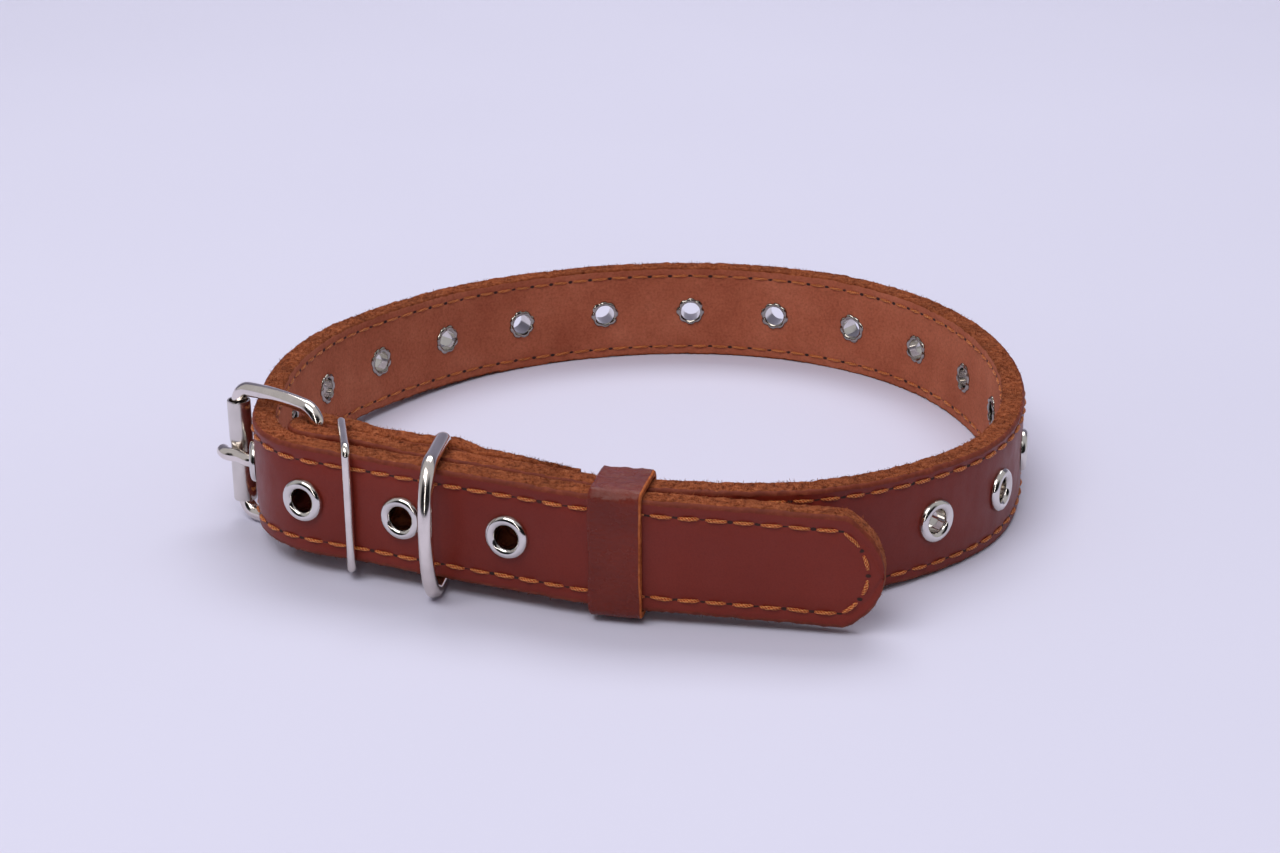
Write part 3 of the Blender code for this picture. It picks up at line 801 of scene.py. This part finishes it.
def build_fibres():
    """Loose fibres that stand off the cut edges."""
    rng = random.Random(5)
    verts = []
    faces = []
    s = 2.0 * MM
    while s < STRAP.length - 0.5 * MM:
        thick = strap_thick(s) / 2.0
        half = half_width(s)
        for side in (1.0, -1.0):
            for _ in range(9 if side > 0.0 else 3):
                across = rng.uniform(-1.0, 0.80) * thick
                foot = on_strap(s + rng.uniform(-0.3, 0.3) * MM, across, side * (half - 0.1 * MM))
                way = np.array([rng.uniform(-1.0, 1.0), rng.uniform(-1.0, 1.0), side * rng.uniform(0.2, 1.0)])
                long = rng.uniform(0.30, 0.95) * MM
                lean = np.array([rng.uniform(-1.0, 1.0), rng.uniform(-1.0, 1.0), 0.3])
                wide = unit(np.cross(unit(way), unit(lean))) * 0.055 * MM
                start = len(verts)
                middle = foot + unit(way) * long * 0.6
                bend = np.array([rng.uniform(-0.2, 0.2), rng.uniform(-0.2, 0.2), 0.0]) * MM
                hair = [foot - wide, foot + wide, middle + wide * 0.7, middle - wide * 0.7,
                        foot + unit(way) * long + bend]
                for point in hair:
                    point[2] = max(point[2], FLOOR_GAP)
                verts += hair
                faces += [(start, start + 1, start + 2, start + 3), (start + 3, start + 2, start + 4)]
        s += FIBRE_STEP
    piece = add_mesh("edge_fibres", verts, faces, [EDGE], smooth=False)
    return place(piece, "collar", "leather")


# Stitching

def stitch_line():
    """Distances along the strap and heights of the stitching, from the fold round the tip and back."""
    half = STRAP_WIDTH / 2.0
    radius = (half ** 2 + TIP_SAG ** 2) / (2.0 * TIP_SAG)
    start = 0.16 * TURN_BACK
    turn = radius - MARGIN_TAIL
    angle = math.asin((half - MARGIN_TAIL) / turn)
    straight = STRAP.length - radius + turn * math.cos(angle)
    upper = [(s, half - margin(s)) for s in np.linspace(start, straight, 400)]
    round_tip = []
    for a in np.linspace(angle, -angle, 40)[1:-1]:
        round_tip.append((STRAP.length - radius + turn * math.cos(a), turn * math.sin(a)))
    lower = [(s, -up) for s, up in reversed(upper)]
    line = np.array(upper + round_tip + lower)
    runs = np.concatenate([[0.0], np.cumsum(np.linalg.norm(np.diff(line, axis=0), axis=1))])
    return line, runs


def build_stitches(name, inner):
    """All stitches of one side, each a short twisted thread that dives into its holes."""
    rng = random.Random(11 if inner else 7)
    line, runs = stitch_line()
    side = -1.0 if inner else 1.0
    sides = 8
    steps = 9
    verts = []
    faces = []
    coords = []
    holes = []
    count = int(runs[-1] / STITCH_PITCH)
    pitch = runs[-1] / count
    offset = 0.5 * pitch if inner else 0.0
    for number in range(count):
        centre = (number + 0.5) * pitch + offset
        if centre + STITCH_LONG / 2.0 > runs[-1]:
            continue
        slant = rng.uniform(-0.10, 0.16) * MM
        radius = THREAD_R * rng.uniform(0.92, 1.08) * (0.85 if inner else 1.0)
        long = STITCH_LONG * rng.uniform(0.94, 1.04)
        phase = rng.uniform(0.0, 1.0)
        path = []
        for k in range(steps):
            share = k / (steps - 1)
            at = centre + (share - 0.5) * long
            s = float(np.interp(at, runs, line[:, 0]))
            up = float(np.interp(at, runs, line[:, 1])) + slant * (2.0 * share - 1.0)
            rise = STITCH_RISE * math.sin(math.pi * share) ** 0.45 - STITCH_SINK
            across = side * (strap_thick(s) / 2.0 + rise) + uneven(s, up, inner)
            path.append(on_strap(s, across, up))
        s_mid = float(np.interp(centre, runs, line[:, 0]))
        out = np.array([*STRAP.outward(s_mid), 0.0]) * side
        if near_eyelet(s_mid, float(np.interp(centre, runs, line[:, 1]))):
            continue
        rings = []
        for k in range(steps):
            way = unit(path[min(k + 1, steps - 1)] - path[max(k - 1, 0)])
            across_way = unit(np.cross(way, out))
            share = k / (steps - 1)
            swell = 0.62 + 0.38 * math.sin(math.pi * share) ** 0.5
            ring = []
            for m in range(sides):
                a = 2.0 * math.pi * m / sides
                twist = 2.0 * a - 2.0 * math.pi * (share * long / (1.5 * MM)) + phase * 6.0
                r = radius * swell * (1.0 + 0.10 * math.cos(twist))
                ring.append(path[k] + r * (math.cos(a) * across_way + math.sin(a) * out))
            rings.append(ring)
        some_verts, some_faces = loft(rings)
        start = len(verts)
        verts.extend(some_verts)
        for face in some_faces:
            faces.append(tuple(start + v for v in face))
            if len(face) == 4:
                base = face[0] // sides
                first = face[0] % sides
                turn_at = (first, first + 1, first + 1, first)
                long_at = (base, base, base + 1, base + 1)
                twists = [at / (steps - 1) * long / (1.15 * MM) + phase for at in long_at]
                coords.append([(twist_at, at / sides * 2.0) for twist_at, at in zip(twists, turn_at)])
            else:
                coords.append([(0.0, 0.0)] * len(face))
        at = centre - 0.5 * pitch
        holes.append((float(np.interp(at, runs, line[:, 0])), float(np.interp(at, runs, line[:, 1]))))
    piece = add_mesh(name, verts, faces, [THREAD])
    layer = piece.data.uv_layers.new(name="twist")
    flat = [value for face in coords for pair in face for value in pair]
    layer.data.foreach_set("uv", flat)
    place(piece, "collar", "leather")
    # Dark discs painted as the shade inside the stitching holes
    build_hole_shades(name + "_holes", holes, side)
    return piece


def near_eyelet(s, up):
    return any(abs(s - station) < 3.0 * MM and abs(up) < 4.0 * MM for station in STATIONS)


def build_hole_shades(name, holes, side):
    """Dark oval discs on the stitching holes: painted shade standing for the holes' mouths, which are not
    cut.
    """
    verts = []
    faces = []
    for s, up in holes:
        along = np.array([*STRAP.along(s), 0.0])
        in_groove = abs(abs(up) - (half_width(s) - margin(s))) < 0.4 * MM
        deep = groove(s) * (0.5 if side < 0.0 else 1.0) if in_groove else 0.0
        across = side * (strap_thick(s) / 2.0 - deep + 0.04 * MM) + uneven(s, up, side < 0.0)
        centre = on_strap(s, across, up)
        start = len(verts)
        for m in range(10):
            a = 2.0 * math.pi * m / 10
            verts.append(centre + along * HOLE_LONG * math.cos(a)
                         + np.array([0.0, 0.0, HOLE_HIGH]) * math.sin(a))
        faces.append(tuple(start + m for m in range(10)))
    piece = add_mesh(name, verts, faces, [HOLE_SHADE], smooth=False)
    return place(piece, "collar", "leather")


# Eyelets

def build_eyelet(number, s):
    """Rolled rim on the grain side, barrel, and the barrel's end split and turned out inside."""
    rng = random.Random(100 + number)
    centre = on_strap(s, 0.0, 0.0)
    out = np.array([*STRAP.outward(s), 0.0])
    side = np.cross((0.0, 0.0, 1.0), out)
    up = np.array([0.0, 0.0, 1.0])
    face = strap_thick(s) / 2.0
    high = EYELET_RIM_HIGH
    barrel = EYELET_HOLE_R
    middle = (EYELET_RIM_R + barrel) / 2.0
    reach = (EYELET_RIM_R - barrel) / 2.0
    profile = [(barrel, -face - 0.1 * MM), (barrel, 0.0), (barrel, face)]
    for angle in (170.0, 150.0, 125.0, 100.0, 78.0, 55.0, 32.0, 10.0):
        a = math.radians(angle)
        profile.append((middle + reach * math.cos(a), face + 0.15 * MM + high * math.sin(a)))
    profile += [(EYELET_RIM_R, face + 0.02 * MM), (EYELET_RIM_R - 0.5 * MM, face - 0.05 * MM),
                (barrel + EYELET_SHEET, face - 0.05 * MM), (barrel + EYELET_SHEET, -face - 0.1 * MM)]
    sides = 36
    rings = []
    for k in range(sides):
        a = 2.0 * math.pi * k / sides
        way = math.cos(a) * side + math.sin(a) * up
        rings.append([centre + way * radius + out * along for radius, along in profile])
    front = loft(rings, closed=True)
    columns = 6 * PETALS
    start_angle = rng.uniform(0.0, 2.0 * math.pi)
    longs = [rng.uniform(0.85, 1.12) for _ in range(PETALS)]
    lifts = [rng.uniform(0.75, 1.35) for _ in range(PETALS)]
    rings = []
    for k in range(columns):
        petal, part = divmod(k, 6)
        away = abs(part - 2.5) / 2.5
        long = 1.22 * MM * longs[petal] * (1.0 - 0.26 * away ** 4)
        rise = 0.42 * MM * lifts[petal] * (1.0 - 0.45 * away ** 3)
        a = start_angle + 2.0 * math.pi * k / columns
        way = math.cos(a) * side + math.sin(a) * up
        ring = []
        for share in (0.0, 0.2, 0.45, 0.7, 1.0):
            bow = rise * math.sin(math.pi * (0.1 + 0.82 * share)) + 0.18 * MM
            ring.append(centre + way * (barrel + long * share) - out * (face + bow))
        for share in (1.0, 0.6, 0.25, 0.0):
            bow = 0.5 * rise * math.sin(math.pi * (0.1 + 0.82 * share)) - 0.08 * MM
            ring.append(centre + way * (barrel + 0.06 * MM + long * share * 0.97) - out * (face + bow))
        rings.append(ring)
    back = loft(rings, closed=True)
    # The turned-out backs take the darker nickel copy, which paints shade on them
    looks = [0] * len(front[1]) + [1] * len(back[1])
    piece = add_mesh("eyelet_ring_%02d" % number, *join([front, back]), [BRIGHT, DULL_SHADED_NICKEL], looks)
    return place(piece, "collar", "nickel", "eyelet_%02d" % number)


# Wire pieces

def wire(name, path, diameter, closed=True, sides=20, look=None, ends=0.0):
    """A round wire along points in space, with rounded ends where it is open."""
    path = np.array(path, float)
    count = len(path)
    side = None
    rings = []
    for i in range(count):
        if closed:
            way = unit(path[(i + 1) % count] - path[i - 1])
        else:
            way = unit(path[min(i + 1, count - 1)] - path[max(i - 1, 0)])
        if side is None:
            side = np.cross(way, (0.0, 0.0, 1.0))
            if np.linalg.norm(side) < 0.1:
                side = np.cross(way, (1.0, 0.0, 0.0))
        side = unit(side - way * np.dot(side, way))
        top = np.cross(way, side)
        radius = diameter / 2.0
        angles = [2.0 * math.pi * k / sides for k in range(sides)]
        ring = [path[i] + radius * (math.cos(a) * side + math.sin(a) * top) for a in angles]
        if not closed and i in (0, count - 1):
            outward = -way if i == 0 else way
            caps = []
            for angle in (25.0, 50.0, 75.0):
                a = math.radians(angle)
                small = radius * (1.0 - ends * (1.0 - math.cos(a)))
                push = outward * radius * ends * math.sin(a)
                middle = path[i] + push
                caps.append([middle + small * (math.cos(b) * side + math.sin(b) * top) for b in angles])
            rings += caps[::-1] + [ring] if i == 0 else [ring] + caps
        else:
            rings.append(ring)
    return add_mesh(name, *loft(rings, closed), [look or NICKEL])


def rounded(corners, radius, count):
    """A closed outline in two dimensions with its corners rounded."""
    made = []
    for i, corner in enumerate(corners):
        here = np.array(corner, float)
        before = unit(np.array(corners[i - 1], float) - here)
        after = unit(np.array(corners[(i + 1) % len(corners)], float) - here)
        half = math.acos(max(-1.0, min(1.0, float(np.dot(before, after))))) / 2.0
        centre = here + unit(before + after) * radius / math.sin(half)
        start = here + before * radius / math.tan(half) - centre
        stop = here + after * radius / math.tan(half) - centre
        turn = math.pi - 2.0 * half
        for k in range(count):
            share = k / (count - 1)
            made.append(centre + (start * math.sin((1.0 - share) * turn) + stop * math.sin(share * turn))
                        / math.sin(turn))
    return made


def finer(outline, step):
    """A closed outline with points no further apart than the step."""
    made = []
    for i, here in enumerate(outline):
        there = outline[(i + 1) % len(outline)]
        count = max(1, int(math.ceil(np.linalg.norm(there - here) / step)))
        made += [here + (there - here) * k / count for k in range(count)]
    return made


def upright(origin, way, outline):
    return [lifted(origin + way * a, b) for a, b in outline]


def frame_heights():
    bottom = strap_bottom((FRAME_AXIS + FRAME_END) / 2.0)
    return bottom - ARM_GAP - FRAME_WIRE / 2.0, bottom + STRAP_WIDTH + ARM_GAP + FRAME_WIRE / 2.0


def build_frame():
    low, high = frame_heights()
    long = float(np.linalg.norm(FRAME_END - FRAME_AXIS))
    corners = ((0.0, low), (long, low), (long, high), (0.0, high))
    outline = []
    for a, b in finer(rounded(corners, FRAME_BEND_R, 12), 1.6 * MM):
        bow = FRAME_BOW * math.sin(math.pi * min(max(a / long, 0.0), 1.0))
        outline.append((a, b + bow if b > (low + high) / 2.0 else b))
    piece = wire("buckle_wire", upright(FRAME_AXIS, FRAME_WAY, outline), FRAME_WIRE, sides=24)
    return place(piece, "collar", "nickel", "buckle_frame")


def build_roller():
    """Rolled sheet tube, its seam open on the far side, pressed in where the prong lies."""
    low, high = frame_heights()
    half = PRONG_WIRE / 2.0
    middle = strap_middle(FRAME_END)
    seam = ROLLER_SEAM / ROLLER_R
    start = math.atan2(FRAME_WAY[1], FRAME_WAY[0]) - math.radians(120.0) + seam / 2.0
    sides = 44
    angles = [start + (2.0 * math.pi - seam) * k / sides for k in range(sides + 1)]
    bottom = low + FRAME_BEND_R * 0.8
    top = high - FRAME_BEND_R * 0.8
    levels = [(bottom, 0.06), (bottom + 0.25 * MM, 0.0)]
    levels += [(z, 0.0) for z in np.linspace(bottom + 1.5 * MM, middle - 2.2 * half, 5)]
    levels += [(middle - 1.5 * half, 0.05), (middle - half, 0.18), (middle, 0.2), (middle + half, 0.18),
               (middle + 1.5 * half, 0.05)]
    levels += [(z, 0.0) for z in np.linspace(middle + 2.2 * half, top - 1.5 * MM, 5)]
    levels += [(top - 0.25 * MM, 0.0), (top, 0.06)]
    rings = []
    for z, dent in levels:
        ring = []
        outer = ROLLER_R - dent * MM
        for radius, run in ((outer, angles), (outer - ROLLER_WALL, angles[::-1])):
            ring.extend(lifted(FRAME_END + radius * np.array([math.cos(a), math.sin(a)]), z) for a in run)
        rings.append(ring)
    piece = add_mesh("roller_tube", *loft(rings), [SATIN])
    return place(piece, "collar", "nickel", "roller")


def build_prong():
    s = STATIONS[PRONG_EYELET]
    hole = STRAP.spot(s)
    out = STRAP.outward(s)
    curl = FRAME_WIRE / 2.0 + CLEAR + PRONG_WIRE / 2.0
    over = ROLLER_R - 0.2 * MM + CLEAR + PRONG_WIRE / 2.0
    before = hole - out * (STRAP_THICK / 2.0 + PRONG_PAST_FACE)
    after = hole + out * (STRAP_THICK / 2.0 + PRONG_PAST_FACE)
    gap = before - FRAME_AXIS
    leave = math.atan2(gap[1], gap[0]) - math.acos(curl / np.linalg.norm(gap))
    points = []
    for k in range(9):
        a = leave - math.radians(250.0) * (1.0 - k / 8.0)
        points.append(FRAME_AXIS + curl * np.array([math.cos(a), math.sin(a)]))
    points.append(points[-1] * 0.45 + before * 0.55)
    points.extend([before, hole, after])
    out_angle = math.atan2(out[1], out[0])
    for turn in (78.0, 45.0, 12.0):
        a = out_angle + math.radians(turn)
        points.append(FRAME_END + over * np.array([math.cos(a), math.sin(a)]))
    smooth = natural_spline(points, 0.0009)
    height = strap_middle(FRAME_END)
    path = [lifted(p, height) for p in smooth]
    piece = wire("prong_wire", path, PRONG_WIRE, closed=False, sides=24, ends=0.55)
    return place(piece, "collar", "nickel", "prong")


def build_wire_keeper():
    back = pocket_axis("keeper")
    spot, _, inward = tail_frame(KEEPER_FRONT_FROM_TIP)
    front = spot - inward * (STRAP_THICK / 2.0 + KEEPER_GAP + KEEPER_WIRE / 2.0)
    bottoms = [strap_bottom(back), strap_bottom(front)]
    low = min(bottoms) - KEEPER_GAP - KEEPER_WIRE / 2.0
    high = max(bottoms) + STRAP_WIDTH + KEEPER_GAP + KEEPER_WIRE / 2.0
    long = np.linalg.norm(front - back)
    corners = ((0.0, low), (long, low), (long, high), (0.0, high))
    outline = finer(rounded(corners, KEEPER_BEND_R, 9), 1.5 * MM)
    piece = wire("keeper_wire", upright(back, unit(front - back), outline), KEEPER_WIRE, sides=20)
    return place(piece, "collar", "nickel", "wire_keeper")


def build_d_ring():
    axis = pocket_axis("d_ring")
    along = next(row[0] for row in STACK_ROWS if row[3] == "d_ring") * TURN_BACK
    spot, _, inward = tail_frame(HINGE_FROM_TIP - along)
    turned = math.atan2(-inward[1], -inward[0]) + D_SWING
    way = np.array([math.cos(turned), math.sin(turned)])
    r = D_WIRE / 2.0
    low = strap_bottom(axis) - D_BOTTOM_GAP - r
    high = strap_bottom(axis) + STRAP_WIDTH + D_TOP_GAP + r
    face = float(np.dot(axis - spot, inward)) + STRAP_THICK / 2.0
    leg = face / math.cos(D_SWING) + D_LEG_PAST
    middle = (low + high) / 2.0
    outline = []
    for k in range(9):
        a = math.pi / 2.0 * k / 8.0
        outline.append((D_BEND_R * (1.0 - math.cos(a)), low + D_BEND_R * (1.0 - math.sin(a))))
    for k in range(33):
        a = math.pi * (k / 32.0 - 0.5)
        outline.append((leg + (D_DEEP - leg) * math.cos(a), middle + (high - low) / 2.0 * math.sin(a)))
    for k in range(9):
        a = math.pi / 2.0 * (1.0 - k / 8.0)
        outline.append((D_BEND_R * (1.0 - math.cos(a)), high - D_BEND_R * (1.0 - math.sin(a))))
    outline = finer([np.array(p) for p in outline], 1.6 * MM)
    piece = wire("ring_wire", upright(axis, way, outline), D_WIRE, sides=24)
    return place(piece, "ring", "nickel", "d_ring")


# Leather keeper

def build_leather_keeper():
    """Loop of thin glossy leather, creased at its bends, its cut edges showing at the sides."""
    spot, way, inward = tail_frame(LOOP_FROM_TIP)
    first = STRAP_THICK / 2.0 + LOOP_GAP
    rows = [(row[0] * TURN_BACK, row[1]) for row in STACK_ROWS[-1:]]
    rows += [(row[0] * TURN_BACK, row[1]) for row in UNDER_ROWS]
    depths = []
    for share in (-0.5, 0.5):
        along = HINGE_FROM_TIP - LOOP_FROM_TIP - share * LOOP_WIDE
        depths.append(STRAP_THICK * (1.5 + table_value(rows, along)) + LAYER_GAP)
    last = max(depths) + LOOP_GAP
    low = strap_bottom(spot) - LOOP_GAP
    high = strap_bottom(spot) + STRAP_WIDTH + LOOP_GAP
    section = [(-0.5, 0.0), (-0.5, 0.5), (-0.5, 1.0), (-0.47, 1.0)]
    section += [(k / 12.0 - 0.5, 1.0) for k in range(1, 12)]
    section += [(0.47, 1.0), (0.5, 1.0), (0.5, 0.5), (0.5, 0.0), (0.25, 0.0), (0.0, 0.0), (-0.25, 0.0)]
    outlines = {}
    for grow in (0.0, 0.5, 1.0):
        g = LOOP_THICK * grow
        corners = ((-first - g, low - g), (last + g, low - g), (last + g, high + g), (-first - g, high + g))
        outline = rounded(corners, LOOP_CORNER_R - LOOP_THICK + g, 9)
        points = []
        for i, here in enumerate(outline):
            there = outline[(i + 1) % len(outline)]
            count = 1
            if i % 9 == 8:
                count = 26 if (i // 9) % 2 else 14
            points += [here + (there - here) * k / count for k in range(count)]
        outlines[grow] = points
    middle_cut = np.array([(last - first) / 2.0, (low + high) / 2.0])
    rings = []
    for i in range(len(outlines[0.0])):
        ring = []
        for share, grow in section:
            flat = outlines[grow][i]
            away = unit(flat - middle_cut)
            edge = 0.35 * MM if abs(share) > 0.48 and grow == 1.0 else 0.0
            flat = flat - away * edge
            point = lifted(spot + way * share * LOOP_WIDE + inward * flat[0], flat[1])
            if grow > 0.4:
                v = Vector(tuple(point))
                crease = noise.noise(v * 420.0) * 0.6 + noise.noise(v * 1000.0) * 0.4
                near_top = max(0.0, 1.0 - abs(flat[1] - high) / (9.0 * MM))
                push = crease * (0.10 + 0.34 * near_top) * MM
                point = point + (inward_point(away, inward)) * push
                sideways = noise.noise(v * 160.0 + Vector((3.0, 1.0, 2.0)))
                point = point + np.array([*way, 0.0]) * sideways * 0.25 * MM
            ring.append(point)
        rings.append(ring)
    verts, faces = loft(rings, closed=True)
    count = len(section)
    looks = []
    for i in range(len(rings)):
        for k in range(count):
            looks.append(1 if k in (0, 1, 15, 16, 17) else (2 if k >= 18 else 0))
    piece = add_mesh("keeper_loop", verts, faces, [GLOSS, CUT, SPLIT], looks, sharp=45.0)
    return place(piece, "collar", "keeper_leather", "leather_keeper")


def inward_point(away, inward):
    """A way in the keeper's section, turned into space."""
    return np.array([inward[0] * away[0], inward[1] * away[0], away[1]])


# Floor, light and camera

def build_floor():
    verts = []
    faces = []
    for y, z in FLOOR_ROWS:
        verts += [(-FLOOR_HALF, y, z), (FLOOR_HALF, y, z)]
    for i in range(len(FLOOR_ROWS) - 1):
        faces.append((2 * i, 2 * i + 1, 2 * i + 3, 2 * i + 2))
    made, tree, shader = nodes_of("paper")
    tone = noise_of(tree, object_vector(tree), 3.0, 2.0)
    colour = ramp_of(tree, tone, ((0.3, (0.640, 0.630, 0.780)), (0.7, (0.660, 0.650, 0.800))))
    dress(tree, shader, {"Base Color": colour, "Roughness": 0.8, "Specular IOR Level": 0.2})
    floor =add_mesh("floor", verts, faces, [made], sharp=180.0)


def add_light(name, place_at, aim, size, power, colour):
    data = bpy.data.lights.new(name, "AREA")
    data.shape = "RECTANGLE"
    data.size, data.size_y = size
    data.energy = power
    data.color = colour
    light = bpy.data.objects.new(name, data)
    light.location = place_at
    way = Vector(aim) - Vector(place_at)
    light.rotation_euler = way.to_track_quat("-Z", "Y").to_euler()
    bpy.context.scene.collection.objects.link(light)


def build_world():
    """Soft light from all round, dark low in front, where the studio is open."""
    world = bpy.data.worlds.new("studio")
    world.use_nodes = True
    tree = world.node_tree
    way = node(tree, "ShaderNodeTexCoord").outputs["Generated"]
    front = node(tree, "ShaderNodeVectorMath", operation="DOT_PRODUCT")
    tree.links.new(way, front.inputs[0])
    front.inputs[1].default_value = (0.0, -1.0, 0.0)
    height = node(tree, "ShaderNodeSeparateXYZ")
    tree.links.new(way, height.inputs[0])
    open_front = ramp_of(tree, front.outputs["Value"], ((0.28, 0.0), (0.45, 1.0)))
    open_low = ramp_of(tree, height.outputs["Z"], ((0.55, 1.0), (0.72, 0.0)))
    gap = mix(tree, 1.0, open_front, open_low, "MULTIPLY")
    light = mix(tree, gap, (0.50, 0.50, 0.52), (0.010, 0.010, 0.011))
    tree.links.new(light, tree.nodes["Background"].inputs["Color"])
    bpy.context.scene.world = world


def build_lights():
    add_light("key", (-0.45, -0.75, 1.35), (0.0, 0.0, 0.0), (1.1, 0.7), 11.0, (1.0, 0.99, 0.98))
    add_light("top", (0.1, 0.8, 1.4), (0.0, 0.1, 0.0), (1.4, 0.8), 12.5, (1.0, 0.99, 0.99))
    add_light("strip", (-0.16, -1.5, 0.62), (0.0, 0.0, 0.0), (0.10, 1.0), 2.2, (1.0, 0.98, 0.97))
    bpy.context.scene.view_settings.view_transform = "Standard"


def build_camera():
    data = bpy.data.cameras.new("camera")
    data.sensor_width = 36.0
    data.lens = 2291.0 / 1280.0 * 36.0
    data.clip_start = 0.01
    camera = bpy.data.objects.new("camera", data)
    turn = Matrix.Rotation(math.radians(90.0 - 21.29), 4, "X") @ Matrix.Rotation(math.radians(-0.43), 4, "Z")
    camera.matrix_world = Matrix.Translation((2.19 * MM, -520.72 * MM, 214.8 * MM)) @ turn
    bpy.context.scene.collection.objects.link(camera)
    bpy.context.scene.camera = camera


build_camera()
build_world()
build_lights()
build_floor()
build_strap()
build_fibres()
build_stitches("stitches_outer", False)
build_stitches("stitches_inner", True)
for number, station in enumerate(STATIONS, start=1):
    build_eyelet(number, station)
build_frame()
build_roller()
build_prong()
build_wire_keeper()
build_d_ring()
build_leather_keeper()

bpy.context.view_layer.update()
